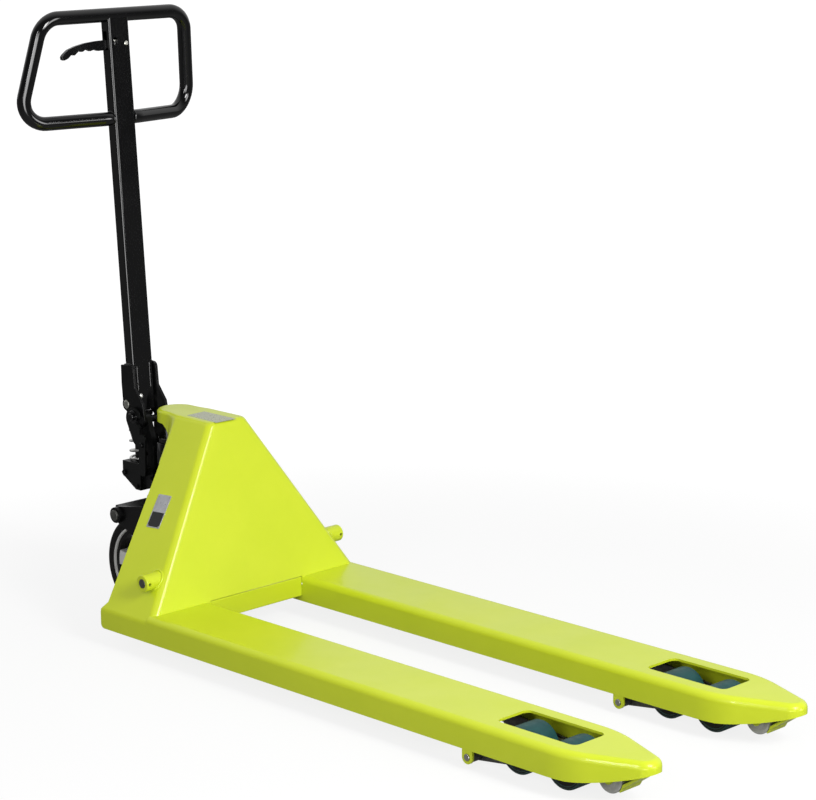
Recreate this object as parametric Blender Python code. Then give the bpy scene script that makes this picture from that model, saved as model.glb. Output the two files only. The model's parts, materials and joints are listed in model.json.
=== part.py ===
"""Hand pallet truck: two forks under a folded hood, a steered pump unit with a tiller,
and the rocker, push rods and roller bogies that lift the forks.
Lengths are in metres. X runs from the hood to the fork tips, Z is up, and X is zero at the crossbar."""

import math

import bmesh
import bpy
from mathutils import Matrix, Vector

# Where the crossbar stands behind the middle of the whole truck
MIDDLE_X = 0.36125

# Forks
TIP_X = 1.150
FORK_REAR_X = -0.147
FORK_CENTRE_Y = 0.1895
FORK_HALF_WIDTH = 0.073
FORK_TOP_Z = 0.085
WEB_BOTTOM_Z = 0.035
SHEET = 0.0045
FORK_EDGE_RADIUS = 0.010
TAPER_X = 1.0165
TIP_RADIUS = 0.028
TIP_STEPS = 8
NOSE_RISE_X = 1.0165
NOSE_RISE = (0.0752, 1.08)
NOSE_RISE_STEPS = 6
WINDOW_X = (0.839, 1.0115)
WINDOW_HALF_WIDTH = 0.0385
WINDOW_RADIUS = 0.012
REAR_WEB_TOP_Z = 0.0722
INNER_WEB_REAR_X = -0.060
TOP_PLATE_REAR_X = 0.0006
CROSSBAR_PLATE = 0.006
GAP = 0.0003
SLIDE_GAP = 0.0005
MERGE = 0.00001

# Roller lugs and entry rollers
LUG_X = 0.807
LUG_Z = 0.022
LUG_RADIUS = 0.0115
LUG_THICKNESS = 0.005
LUG_PIN_RADIUS = 0.006
ENTRY_X = 1.072
ENTRY_Z = 0.043
ENTRY_RADIUS = 0.025
ENTRY_HALF_WIDTH = 0.025
ENTRY_AXLE_RADIUS = 0.005
RAMP_PLATE = 0.004
ENTRY_EASE = 0.002
RAMP_X = (1.0985, 1.141)
RAMP_Z = (0.0325, 0.0630)
RAMP_HALF_WIDTH = 0.024
HANGER_RADIUS = 0.009

# Hood
HOOD_BASE_Z = 0.0725
HOOD_TOP_Z = 0.398
HOOD_HALF_BASE = 0.2625
HOOD_SIDE_SLOPE = 0.6546
HOOD_FRONT_SLOPE = 0.2303
HOOD_BEND = 0.014
HOOD_REAR = ((HOOD_BASE_Z, -0.1465), (0.086, -0.1345), (HOOD_TOP_Z, -0.170))
HOOD_PLATE = 0.0065
NOSE_X = -0.223
NOSE_RADIUS = 0.040
NOSE_SKIRT = 0.004
TOP_HALF_WIDTH = 0.0465
TOP_EDGE_RADIUS = 0.005
NOSE_NECK_X = (-0.180, -0.166)
SKIRT_X = (-0.28, -0.186, -0.1715)
SKIRT_Z = (0.389, 0.362)

# Torsion shaft and rocker
TORSION_X = -0.038
TORSION_Z = 0.140
SHAFT_RADIUS = 0.0115
BOSS_RADIUS = 0.0162
BOSS_Y = (0.2003, 0.2495)
ROCKER_TUBE_RADIUS = 0.0175
ROCKER_BOSS_RADIUS = 0.0192
ROCKER_END_Y = 0.199
ARM_Y = (0.135, 0.1425)
CRANK_Y = (0.165, 0.175)
CRANK_RADIUS = 0.0818
CRANK_LEAN = math.radians(15.68)
CRANK_PIN_RADIUS = 0.008
TRUNNION_Z = 0.215
TRUNNION_RADIUS = 0.006
TRUNNION_BOSS = 0.016
TRUNNION_END_Y = 0.150
TRUNNION_HEAD = 0.0105
PIN_ROOT_Y = 0.100
ARM_ELBOW = (-0.166, 0.239, 0.004)

# Push rods, roller brackets, bogies
ROD_HALF_THICKNESS = 0.006
ROD_HALF_HEIGHT = 0.008
ROD_EYE_RADIUS = 0.013
ROD_PIN_ARM = 0.0445
ROD_PIN_LEAN = math.radians(29.8)
ROD_PIN_RADIUS = 0.005
BRACKET_Y = (0.0425, 0.0475)
BOGIE_X = 0.930
ROLLER_RADIUS = 0.040
ROLLER_HALF_WIDTH = 0.0295
ROLLER_SPACING = 0.100
ROLLER_EASE = 0.003
BRACKET_TUBE_RADIUS = 0.0105
LINK_Y = (0.0345, 0.0395)
LINK_RADIUS = 0.013
BOGIE_PIN_RADIUS = 0.006

# Steering unit
STEER_X = -0.238
WHEEL_RADIUS = 0.100
WHEEL_Y = (0.0455, 0.0945)
RIM_RADIUS = 0.081
HUB_RADIUS = 0.022
AXLE_RADIUS = 0.010
AXLE_Z = 0.100
SPOKES = 5
SPOKE_TURN = 67
WEB_Y = (0.060, 0.088)
WINDOW_RADII = (0.030, 0.0705)
RIM_INNER_RADIUS = 0.074
TYRE_SHOULDER = 0.010
AXLE_CAP = (0.017, 0.005)
STEM_RADIUS = 0.034
RING_Z = (0.205, 0.226)
RING_RADIUS = 0.055
EAR_Y = 0.125
EAR_X = (-0.029, 0.014)
FLANGE_Z = (0.2355, 0.262)
FLANGE_RADIUS = 0.048
CYLINDER_RADIUS = 0.033
CYLINDER_TOP_Z = 0.336
GLAND_TOP_Z = 0.3455
RAM_RADIUS = 0.016
RAM_BOTTOM_Z = 0.152
RAM_TOP_Z = 0.3835
BLOCK_HALF_WIDTH = 0.032
BLOCK_TOP_Z = 0.283
BLOCK_REAR_X = -0.3585
BLOCK_FRONT_X = -0.304
BLOCK_BOTTOM_Z = 0.230
NECK_HALF_WIDTH = 0.0245
CORNER_CUT = ((BLOCK_REAR_X - 0.01, 0.2562), (-0.352, 0.250), (-0.319, BLOCK_BOTTOM_Z), (-0.319, 0.2))
CORNER_CUT_Y = 0.0135
PLUG = (-0.3515, 0.2600, 0.0055)
SCREW = (-0.3135, 0.2370, 0.0045)

# Pump plunger and tiller
PLUNGER_X = -0.338
PLUNGER_RADIUS = 0.008
GUIDE_RADIUS = 0.0125
GUIDE_TOP_Z = 0.316
PLUNGER_FOOT_Z = 0.295
PLUNGER_HEAD_RADIUS = 0.0245
PLUNGER_HEAD_Z = (0.3748, 0.3812)
SPRING_RADIUS = 0.0215
SPRING_WIRE = 0.005
SPRING_CURLS = 6
SPRING_STEPS = 9
SPRING_Z = (0.2836, 0.3744)
PIVOT_X = -0.300
PIVOT_Z = 0.372
PIVOT_PIN_RADIUS = 0.007
PIVOT_HEAD = 0.011
LOBE_RADIUS = 0.0135
YOKE_Y = (0.0125, 0.0243)
SHIELD_Y = (0.0350, 0.0385)
SHIELD_HEAD = ((-0.3135, 0.3745, 0.0225), (-0.3005, 0.3400, 0.0190))
SHIELD_LEG = ((-0.2895, 0.3350, 0.0110), (-0.2895, 0.2720, 0.0095))
SHIELD_PAD = ((-0.2975, 0.2645), (-0.2815, 0.2795))
CHEEK_Y = (0.0253, 0.0313)
CAM_ARM = 0.049
CAM_ANGLE = math.radians(33)
CAM_RADIUS = 0.0165
CAM_PIN_RADIUS = 0.005
CAM_HALF_WIDTH = 0.0243
CAM_HEAD = 0.0085
PIN_END_Y = 0.0345
LEAN = math.radians(3.93)
TUBE_X = -0.0312
TUBE_HALF_DEPTH = 0.0125
TUBE_HALF_WIDTH = 0.025
TUBE_WALL = 0.0025
TUBE_Z = (0.046, 0.7845)
FOOT_PLATE_Z = 0.015
FOOT_HOLE = (-0.0105, 0.0425, 0.0035)
LOOP_RADIUS = 0.0135
LOOP_WALL = 0.002
LOOP_BEND = 0.045
LOOP_TOP = (-0.0312, 0.1728, 0.7865)
LOOP_LOW = (-0.0815, 0.2090, 0.5890)
LOOP_ROOT_Y = 0.0256
LOOP_ROOT_RUN = 0.012
LEVER_Y = 0.0145
LEVER_Z = 0.7315
CLEVIS_Y = -0.0114
LEVER_X = (-0.005, 0.0035)
LEVER_PIN_RADIUS = 0.003
CLEVIS_PIN_RADIUS = 0.0025
PULL_EYE = (0.0048, 0.0075)
PULL_WIRE_RADIUS = 0.0023
VALVE_X = -0.291
VALVE_Z = 0.306
VALVE_PIN_RADIUS = 0.004

SIDES = (("left", 1), ("right", -1))
FRAMES = {}
PAINTS = {}


def paint(name, colour, roughness, metallic):
    """One Principled material per kind of surface."""
    made = bpy.data.materials.new(name)
    made.use_nodes = True
    shader = made.node_tree.nodes["Principled BSDF"]
    shader.inputs["Base Color"].default_value = (*colour, 1.0)
    shader.inputs["Roughness"].default_value = roughness
    shader.inputs["Metallic"].default_value = metallic
    PAINTS[name] = made


def pivot(name, spot, parent=None, lean=0.0):
    """An empty on a joint's axis; its frame is kept in the truck's own axes."""
    empty = bpy.data.objects.new(name, None)
    bpy.context.collection.objects.link(empty)
    FRAMES[name] = Matrix.Translation(spot) @ Matrix.Rotation(-lean, 4, "Y")
    own = FRAMES[name]
    if parent:
        empty.parent = bpy.data.objects[parent]
        own = FRAMES[parent].inverted() @ FRAMES[name]
    empty.matrix_basis = own


def arc(centre, radius, start, end, steps):
    """Points on a circle from one angle to another, in degrees."""
    turns = [math.radians(start + (end - start) * i / steps) for i in range(steps + 1)]
    return [(centre[0] + radius * math.cos(t), centre[1] + radius * math.sin(t)) for t in turns]


def belt(circles, steps=12):
    """Outline of a belt pulled round circles given as (a, b, radius)."""
    last = 360 * (1 - 1 / steps)
    points = sorted(p for a, b, r in circles for p in arc((a, b), r, 0, last, steps - 1))
    halves = []
    for run in (points, points[::-1]):
        half = []
        for p in run:
            while len(half) > 1 and cross(half[-2], half[-1], p) <= 1e-12:
                half.pop()
            half.append(p)
        halves += half[:-1]
    return halves


def cross(a, b, c):
    """Positive where a, b, c turn to the left."""
    return (b[0] - a[0]) * (c[1] - a[1]) - (b[1] - a[1]) * (c[0] - a[0])


def rectangle(low, high, radius=0.0, steps=3):
    """Outline of a rectangle between two corners, rounded if a radius is given."""
    (a0, b0), (a1, b1) = low, high
    if not radius:
        return [(a0, b0), (a1, b0), (a1, b1), (a0, b1)]
    spots = ((a1, b0, -90), (a1, b1, 0), (a0, b1, 90), (a0, b0, 180))
    points = []
    for a, b, start in spots:
        inward_a = math.copysign(radius, (a0 + a1) / 2 - a)
        inward_b = math.copysign(radius, (b0 + b1) / 2 - b)
        centre = (a + inward_a, b + inward_b)
        points += arc(centre, radius, start, start + 90, steps)
    return points


def solid(bm):
    """A new object from a mesh being built, with its faces turned outward."""
    bmesh.ops.recalc_face_normals(bm, faces=bm.faces)
    mesh = bpy.data.meshes.new("piece")
    bm.to_mesh(mesh)
    bm.free()
    piece = bpy.data.objects.new("piece", mesh)
    bpy.context.collection.objects.link(piece)
    return piece


def prism(outline, low, high, axis):
    """An outline drawn across one axis and pulled out along it."""
    bm = bmesh.new()
    ends = []
    for h in (low, high):
        spots = {
            "X": [(h, a, b) for a, b in outline],
            "Y": [(a, h, b) for a, b in outline],
            "Z": [(a, b, h) for a, b in outline],
        }[axis]
        ends.append([bm.verts.new(spot) for spot in spots])
    bm.faces.new(ends[0])
    bm.faces.new(ends[1][::-1])
    for i in range(len(outline)):
        bm.faces.new((ends[0][i - 1], ends[0][i], ends[1][i], ends[1][i - 1]))
    return solid(bm)


def turned(profile, centre, axis, count=18):
    """A closed outline of (radius, place along the axis) spun round that axis."""
    bm = bmesh.new()
    rings = []
    for radius, along in profile:
        turns = [2 * math.pi * i / count for i in range(count if radius else 1)]
        ring = []
        for t in turns:
            a, b = radius * math.cos(t), radius * math.sin(t)
            spot = {"X": (along, a, b), "Y": (a, along, b), "Z": (a, b, along)}[axis]
            ring.append(bm.verts.new(Vector(spot) + Vector(centre)))
        rings.append(ring)
    for i, ring in enumerate(rings):
        last = rings[i - 1]
        if len(ring) == 1 and len(last) == 1:
            continue
        for j in range(count):
            corners = [last[j % len(last)], last[(j + 1) % len(last)]]
            corners += [ring[(j + 1) % len(ring)], ring[j % len(ring)]]
            bm.faces.new(list(dict.fromkeys(corners)))
    return solid(bm)


def rod(radius, low, high, centre, axis, count=14):
    """A plain round bar."""
    middle = [c for c, name in zip(centre, "XYZ") if name != axis]
    return prism(arc(middle, radius, 0, 360 * (1 - 1 / count), count - 1), low, high, axis)


def clear(radius, count):
    """Radius of a faceted hole whose flats stay outside a stated radius."""
    return radius / math.cos(math.pi / count)


def bore(radius, low, high, centre, axis, count=14):
    """A cutter for a round hole."""
    return rod(clear(radius, count), low, high, centre, axis, count)


def ring(inner, outer, low, high, centre, axis, count=18):
    """A round tube with square ends."""
    inner = clear(inner, count)
    return turned([(inner, low), (outer, low), (outer, high), (inner, high)], centre, axis, count)


def combine(base, operation, tools):
    """Joins, cuts or trims a piece with others, which are used up."""
    for tool in tools:
        change = base.modifiers.new(operation, "BOOLEAN")
        change.operation = operation
        change.solver = "EXACT"
        change.object = tool
        with bpy.context.temp_override(object=base, active_object=base):
            bpy.ops.object.modifier_apply(modifier=change.name)
        bpy.data.objects.remove(tool)
        bm = bmesh.new()
        bm.from_mesh(base.data)
        bmesh.ops.remove_doubles(bm, verts=bm.verts, dist=MERGE)
        bmesh.ops.dissolve_degenerate(bm, edges=bm.edges, dist=MERGE)
        bm.to_mesh(base.data)
        bm.free()
    return base


def join(base, *tools):
    """Welds pieces into one body."""
    return combine(base, "UNION", tools)


def cut(base, *tools):
    """Takes the tools' space out of a piece."""
    return combine(base, "DIFFERENCE", tools)


def soften(piece, radius, segments, chosen):
    """Rounds the edges whose two ends pass a test."""
    bm = bmesh.new()
    bm.from_mesh(piece.data)
    edges = [e for e in bm.edges if chosen(e.verts[0].co, e.verts[1].co)]
    bmesh.ops.bevel(bm, geom=edges, offset=radius, segments=segments, profile=0.5, affect="EDGES")
    bm.to_mesh(piece.data)
    bm.free()
    return piece


def place(piece, name, surface, frame, local=False):
    """Names a finished piece, paints it and hangs it on its frame."""
    piece.name = name
    piece.data.name = name
    piece.data.materials.append(PAINTS[surface])
    if not local:
        piece.data.transform(FRAMES[frame].inverted())
    piece.parent = bpy.data.objects[frame]


def bent_tube(name, path, radius, resolution, surface, frame, wall=0.0):
    """A round bar along a path, closed at both ends, or a tube where a wall is given."""
    curve = bpy.data.curves.new(name, "CURVE")
    curve.dimensions = "3D"
    curve.bevel_depth = radius
    curve.bevel_resolution = resolution
    curve.use_fill_caps = not wall
    line = curve.splines.new("POLY")
    line.points.add(len(path) - 1)
    for point, spot in zip(line.points, path):
        point.co = (*spot, 1.0)
    piece = bpy.data.objects.new(name, curve)
    bpy.context.collection.objects.link(piece)
    curve.materials.append(PAINTS[surface])
    piece.parent = bpy.data.objects[frame]
    if wall:
        skin = piece.modifiers.new("wall", "SOLIDIFY")
        skin.thickness = wall
        skin.offset = -1.0


def rounded_path(corners, radius, steps):
    """A path through corners, each inner one replaced by an arc."""
    path = [Vector(corners[0])]
    for before, here, after in zip(corners, corners[1:], corners[2:]):
        here = Vector(here)
        back = (Vector(before) - here).normalized()
        on = (Vector(after) - here).normalized()
        half = back.angle(on) / 2
        centre = here + (back + on).normalized() * (radius / math.sin(half))
        reach = radius / math.tan(half)
        first = here + back * reach - centre
        last = here + on * reach - centre
        sweep = first.angle(last)
        for i in range(steps + 1):
            share = i / steps
            a = math.sin((1 - share) * sweep) / math.sin(sweep)
            b = math.sin(share * sweep) / math.sin(sweep)
            path.append(centre + first * a + last * b)
    return path + [Vector(corners[-1])]


def fork_outline(inset, rear_x, middle):
    """Plan of a fork: straight sides, a taper and a round tip, drawn in by an inset."""
    centre_x = TIP_X - TIP_RADIUS
    reach = Vector((centre_x - TAPER_X, -FORK_HALF_WIDTH))
    slope = math.atan2(reach.y, reach.x) + math.asin(TIP_RADIUS / reach.length)
    side = FORK_HALF_WIDTH - inset
    corner_x = TAPER_X + inset * math.tan(slope / 2)
    turn = 90 + math.degrees(slope)
    tip = arc((centre_x, 0), TIP_RADIUS - inset, -turn, turn, TIP_STEPS)
    plan = [(rear_x, -side), (corner_x, -side), *tip, (corner_x, side), (rear_x, side)]
    return [(x, y + middle) for x, y in plan]


def fork_block(inset, rear_x, low, high, radius, middle):
    """The fork's plan raised to its top, with the upper rim rounded."""
    block = prism(fork_outline(inset, rear_x, middle), low, high, "Z")

    def upper_rim(a, b):
        return min(a.z, b.z) > high - GAP and max(a.x, b.x) > rear_x + GAP

    return soften(block, radius, 2, upper_rim)


def fork(side):
    """A channel of bent sheet with its window, lugs and the ramp before its entry roller."""
    middle = side * FORK_CENTRE_Y
    body = fork_block(0.0, FORK_REAR_X, WEB_BOTTOM_Z, FORK_TOP_Z, FORK_EDGE_RADIUS, middle)
    hollow = fork_block(
        SHEET, FORK_REAR_X - 0.05, 0.0, FORK_TOP_Z - SHEET, FORK_EDGE_RADIUS - SHEET, middle
    )
    wedge = [(NOSE_RISE_X, 0.0), (TIP_X + 0.01, 0.0)]
    for i in range(NOSE_RISE_STEPS + 1):
        run = (TIP_X + 0.01 - NOSE_RISE_X) * (1 - i / NOSE_RISE_STEPS)
        wedge.append((NOSE_RISE_X + run, WEB_BOTTOM_Z + NOSE_RISE[0] * run + NOSE_RISE[1] * run**2))
    window = rectangle(
        (WINDOW_X[0], middle - WINDOW_HALF_WIDTH),
        (WINDOW_X[1], middle + WINDOW_HALF_WIDTH),
        WINDOW_RADIUS,
    )
    rear_top = rectangle((FORK_REAR_X - 0.05, REAR_WEB_TOP_Z), (TOP_PLATE_REAR_X, 0.2))
    inner_y = middle - side * FORK_HALF_WIDTH
    inner_web = rectangle((FORK_REAR_X - 0.05, 0.0), (INNER_WEB_REAR_X, 0.2))
    cut(
        body,
        hollow,
        prism(wedge, middle - 0.1, middle + 0.1, "Y"),
        prism(window, 0.07, 0.1, "Z"),
        prism(rear_top, middle - 0.1, middle + 0.1, "Y"),
        prism(inner_web, inner_y - 0.02, inner_y + 0.02, "Y"),
    )
    lug = belt([(LUG_X, LUG_Z, LUG_RADIUS), (LUG_X - 0.008, 0.046, 0.003), (LUG_X + 0.008, 0.046, 0.003)])
    for outward in (-1, 1):
        face = middle + outward * (FORK_HALF_WIDTH - GAP)
        back = face - outward * LUG_THICKNESS
        join(body, prism(lug, min(face, back), max(face, back), "Y"))
    root = [(ENTRY_X + step, FORK_TOP_Z - SHEET, 0.002) for step in (-0.012, 0.012)]
    hanger = belt([(ENTRY_X, ENTRY_Z, HANGER_RADIUS), *root])
    for outward in (-1, 1):
        near = middle + outward * (ENTRY_HALF_WIDTH + 0.0008)
        far = near + outward * RAMP_PLATE
        join(body, prism(hanger, min(near, far), max(near, far), "Y"))
    low, high = zip(RAMP_X, RAMP_Z)
    ramp = [low, high, (high[0], high[1] + RAMP_PLATE), (low[0], low[1] + RAMP_PLATE)]
    shelf = prism(ramp, middle - RAMP_HALF_WIDTH, middle + RAMP_HALF_WIDTH, "Y")
    within = prism(fork_outline(SHEET / 2, FORK_REAR_X, middle), 0.0, FORK_TOP_Z, "Z")
    join(body, combine(shelf, "INTERSECT", [within]))
    cut(
        body,
        bore(LUG_PIN_RADIUS + GAP, middle - 0.1, middle + 0.1, (LUG_X, 0, LUG_Z), "Y"),
        bore(ENTRY_AXLE_RADIUS + GAP, middle - 0.035, middle + 0.035, (ENTRY_X, 0, ENTRY_Z), "Y"),
    )
    return body


def hood_outline(z, inset, rear_x):
    """Plan of the folded hood at one height, from its right rear edge to its left one."""
    front = -HOOD_FRONT_SLOPE * (z - FORK_TOP_Z) - HOOD_BEND
    half = HOOD_HALF_BASE - HOOD_SIDE_SLOPE * (z - HOOD_BASE_Z) - HOOD_BEND
    bend = HOOD_BEND - inset
    plan = [(rear_x, -half - bend)]
    plan += arc((front, -half), bend, -90, 0, 5)
    plan += arc((front, half), bend, 0, 90, 5)
    return plan + [(rear_x, half + bend)]


def hood_shell():
    """Front and side panels folded from one sheet, open behind and below."""
    bm = bmesh.new()
    rings = []
    for z, rear_x in HOOD_REAR:
        plan = hood_outline(z, 0.0, rear_x) + hood_outline(z, SHEET, rear_x)[::-1]
        rings.append([bm.verts.new((x, y, z)) for x, y in plan])
    count = len(rings[0])
    for low, high in zip(rings, rings[1:]):
        for i in range(count):
            bm.faces.new((low[i - 1], low[i], high[i], high[i - 1]))
    for end in (rings[0], rings[-1]):
        for i in range(count // 2 - 1):
            bm.faces.new((end[i], end[i + 1], end[count - 2 - i], end[count - 1 - i]))
    shell = solid(bm)
    over_forks = rectangle((TOP_PLATE_REAR_X - GAP, 0.0), (0.1, FORK_TOP_Z + GAP))
    over_bar = rectangle((-CROSSBAR_PLATE - GAP, 0.0), (0.1, FORK_TOP_Z + GAP))
    bar_end = FORK_CENTRE_Y - FORK_HALF_WIDTH
    spot = (TORSION_X, 0, TORSION_Z)
    return cut(
        shell,
        prism(over_forks, -0.3, 0.3, "Y"),
        prism(over_bar, -bar_end, bar_end, "Y"),
        bore(BOSS_RADIUS + GAP, 0.18, 0.28, spot, "Y"),
        bore(BOSS_RADIUS + GAP, -0.28, -0.18, spot, "Y"),
    )


def nose_plan(inset):
    """Plan of the hood's top plate and the round nose over the ram."""
    front_x = -HOOD_FRONT_SLOPE * (HOOD_TOP_Z - FORK_TOP_Z)
    half = NOSE_RADIUS - inset
    wide = TOP_HALF_WIDTH - inset
    slim_x, wide_x = NOSE_NECK_X
    plan = [(slim_x, half), *arc((NOSE_X, 0), half, 90, 270, 10), (slim_x, -half)]
    return plan + [(wide_x, -wide), (front_x, -wide), (front_x, wide), (wide_x, wide)]


def hood_top():
    """The top plate, with a skirt that deepens from the nose to the side panels."""
    low = HOOD_TOP_Z + GAP
    high = low + HOOD_PLATE
    rear_x, slim_x, seat_x = SKIRT_X
    rear_z, deep_z = SKIRT_Z
    body = prism(nose_plan(0.0), deep_z - 0.02, high, "Z")

    def upper_rim(a, b):
        return min(a.z, b.z) > high - GAP

    soften(body, TOP_EDGE_RADIUS, 3, upper_rim)
    skirt = [(rear_x, rear_z), (slim_x, deep_z), (seat_x, deep_z), (seat_x, low), (0.0, low)]
    skirt += [(0.0, high + 0.02), (rear_x, high + 0.02)]
    combine(body, "INTERSECT", [prism(skirt, -0.1, 0.1, "Y")])
    room = [(x, y) for x, y in nose_plan(NOSE_SKIRT) if x < -0.17]
    room = [(-0.15, NOSE_RADIUS - NOSE_SKIRT), *room, (-0.15, NOSE_SKIRT - NOSE_RADIUS)]
    return cut(body, prism(room, 0.3, low, "Z"))


def rocker():
    """Torsion tube with two arms back to the trunnions and a crank into each fork."""
    spot = (TORSION_X, 0, TORSION_Z)
    body = rod(ROCKER_TUBE_RADIUS, -ROCKER_END_Y, ROCKER_END_Y, spot, "Y", 16)
    arm = [(STEER_X, TRUNNION_Z, TRUNNION_BOSS), ARM_ELBOW, (TORSION_X, TORSION_Z, ROCKER_BOSS_RADIUS)]
    crank = [(TORSION_X, TORSION_Z, ROCKER_BOSS_RADIUS), (*crank_pin_spot(), 0.012)]
    for _, side in SIDES:
        for outline, ends in ((belt(arm), ARM_Y), (belt(crank), CRANK_Y)):
            join(body, prism(outline, *sorted(side * y for y in ends), "Y"))
        ends = sorted((side * ARM_Y[0], side * TRUNNION_END_Y))
        join(body, rod(TRUNNION_BOSS - 0.0005, *ends, (STEER_X, 0, TRUNNION_Z), "Y"))
        ends = sorted((side * CRANK_Y[0] + side * 0.002, side * (FORK_CENTRE_Y + 0.014)))
        x, z = crank_pin_spot()
        join(body, rod(CRANK_PIN_RADIUS, *ends, (x, 0, z), "Y"))
    return cut(
        body,
        bore(SHAFT_RADIUS + GAP, -0.25, 0.25, spot, "Y"),
        bore(TRUNNION_RADIUS + GAP, -0.2, 0.2, (STEER_X, 0, TRUNNION_Z), "Y"),
    )


def crank_pin_spot():
    """Where the push rod meets the crank, with the forks down."""
    x = TORSION_X - CRANK_RADIUS * math.sin(CRANK_LEAN)
    return x, TORSION_Z - CRANK_RADIUS * math.cos(CRANK_LEAN)


def rod_pin_spot():
    """Where the push rod meets the roller bracket, with the forks down."""
    x = LUG_X - ROD_PIN_ARM * math.sin(ROD_PIN_LEAN)
    return x, LUG_Z + ROD_PIN_ARM * math.cos(ROD_PIN_LEAN)


def push_rod(middle):
    """Flat bar with an eye on the crank pin and an open saddle under the bracket's pin."""
    rear_x, rear_z = crank_pin_spot()
    front_x, front_z = rod_pin_spot()
    low, high = middle - ROD_HALF_THICKNESS, middle + ROD_HALF_THICKNESS
    bar = [(rear_x, rear_z - ROD_HALF_HEIGHT), (front_x, front_z - ROD_HALF_HEIGHT)]
    bar += [(front_x, front_z + ROD_HALF_HEIGHT), (rear_x, rear_z + ROD_HALF_HEIGHT)]
    head = rectangle((front_x - 0.018, front_z - 0.014), (front_x + 0.013, front_z + 0.0145), 0.004)
    body = prism(bar, low, high, "Y")
    join(body, rod(ROD_EYE_RADIUS, low - 0.0015, high + 0.0015, (rear_x, 0, rear_z), "Y"))
    join(body, prism(head, low - 0.001, high + 0.001, "Y"))
    room = ROD_PIN_RADIUS + 0.0008
    slot = belt([(front_x, front_z, room), (front_x, front_z + 0.03, room)])
    return cut(
        body,
        bore(CRANK_PIN_RADIUS + GAP, low - 0.01, high + 0.01, (rear_x, 0, rear_z), "Y"),
        prism(slot, low - 0.01, high + 0.01, "Y"),
    )


def roller_bracket(middle):
    """Two plates on a tube round the lug pin, with the push rod's pin across their rear corners."""
    pin_x, pin_z = rod_pin_spot()
    reach = FORK_HALF_WIDTH - LUG_THICKNESS - 2 * GAP - 0.001
    body = rod(BRACKET_TUBE_RADIUS, middle - reach, middle + reach, (LUG_X, 0, LUG_Z), "Y")
    plate = belt([(pin_x, pin_z, 0.0095), (LUG_X, LUG_Z, 0.011), (BOGIE_X, ROLLER_RADIUS, 0.012)])
    for outward in (-1, 1):
        ends = sorted(middle + outward * y for y in BRACKET_Y)
        join(body, prism(plate, *ends, "Y"))
    wide = BRACKET_Y[1] - 0.0005
    join(body, rod(ROD_PIN_RADIUS, middle - wide, middle + wide, (pin_x, 0, pin_z), "Y"))
    return cut(
        body,
        bore(LUG_PIN_RADIUS + GAP, middle - 0.1, middle + 0.1, (LUG_X, 0, LUG_Z), "Y"),
        bore(BOGIE_PIN_RADIUS + GAP, middle - 0.1, middle + 0.1, (BOGIE_X, 0, ROLLER_RADIUS), "Y"),
    )


def bogie(middle):
    """Two link plates held apart by the axles of their two load rollers."""
    ends = [BOGIE_X - ROLLER_SPACING / 2, BOGIE_X + ROLLER_SPACING / 2]
    plate = belt([(x, ROLLER_RADIUS, LINK_RADIUS) for x in ends])
    wide = LINK_Y[1] - 0.0005
    first, *others = [
        rod(BOGIE_PIN_RADIUS, middle - wide, middle + wide, (x, 0, ROLLER_RADIUS), "Y") for x in ends
    ]
    for outward in (-1, 1):
        flanks = sorted(middle + outward * y for y in LINK_Y)
        join(first, prism(plate, *flanks, "Y"))
    join(first, *others)
    hole = bore(BOGIE_PIN_RADIUS + GAP, middle - 0.1, middle + 0.1, (BOGIE_X, 0, ROLLER_RADIUS), "Y")
    return cut(first, hole)


def load_roller(x, middle):
    """A tread with eased edges round a bored core."""
    wide, inner = ROLLER_HALF_WIDTH, clear(BOGIE_PIN_RADIUS + GAP, 24)
    flank = ROLLER_RADIUS - ROLLER_EASE
    tread = wide - ROLLER_EASE
    profile = [(inner, -wide), (flank, -wide), (ROLLER_RADIUS, -tread)]
    profile += [(ROLLER_RADIUS, tread), (flank, wide), (inner, wide)]
    return turned(profile, (x, middle, ROLLER_RADIUS), "Y", 24)


def entry_roller(middle):
    """Plain barrel that rides over a pallet's edge board."""
    wide = ENTRY_HALF_WIDTH
    inner = clear(ENTRY_AXLE_RADIUS + GAP, 18)
    flank = ENTRY_RADIUS - ENTRY_EASE
    tread = wide - ENTRY_EASE
    profile = [(inner, -wide), (flank, -wide), (ENTRY_RADIUS, -tread)]
    profile += [(ENTRY_RADIUS, tread), (flank, wide), (inner, wide)]
    return turned(profile, (ENTRY_X, middle, ENTRY_Z), "Y", 18)


def thrust_ring():
    """Collar round the pump's stem, with a slotted ear for each trunnion."""
    body = rod(RING_RADIUS, *RING_Z, (STEER_X, 0, 0), "Z", 20)
    ear_z = (RING_Z[0] + 0.0005, RING_Z[1] - 0.0005)
    slot = belt([(STEER_X - 0.0148, TRUNNION_Z, 0.0071), (STEER_X + 0.001, TRUNNION_Z, 0.0071)])
    tools = [bore(STEM_RADIUS + GAP, 0.1, 0.3, (STEER_X, 0, 0), "Z", 20)]
    for _, side in SIDES:
        ends = sorted((side * 0.04, side * EAR_Y))
        outline = rectangle((STEER_X + EAR_X[0], ear_z[0]), (STEER_X + EAR_X[1], ear_z[1]))
        join(body, prism(outline, *ends, "Y"))
        tools.append(prism(slot, *sorted((side * 0.09, side * 0.14)), "Y"))
    return cut(body, *tools)


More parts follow.
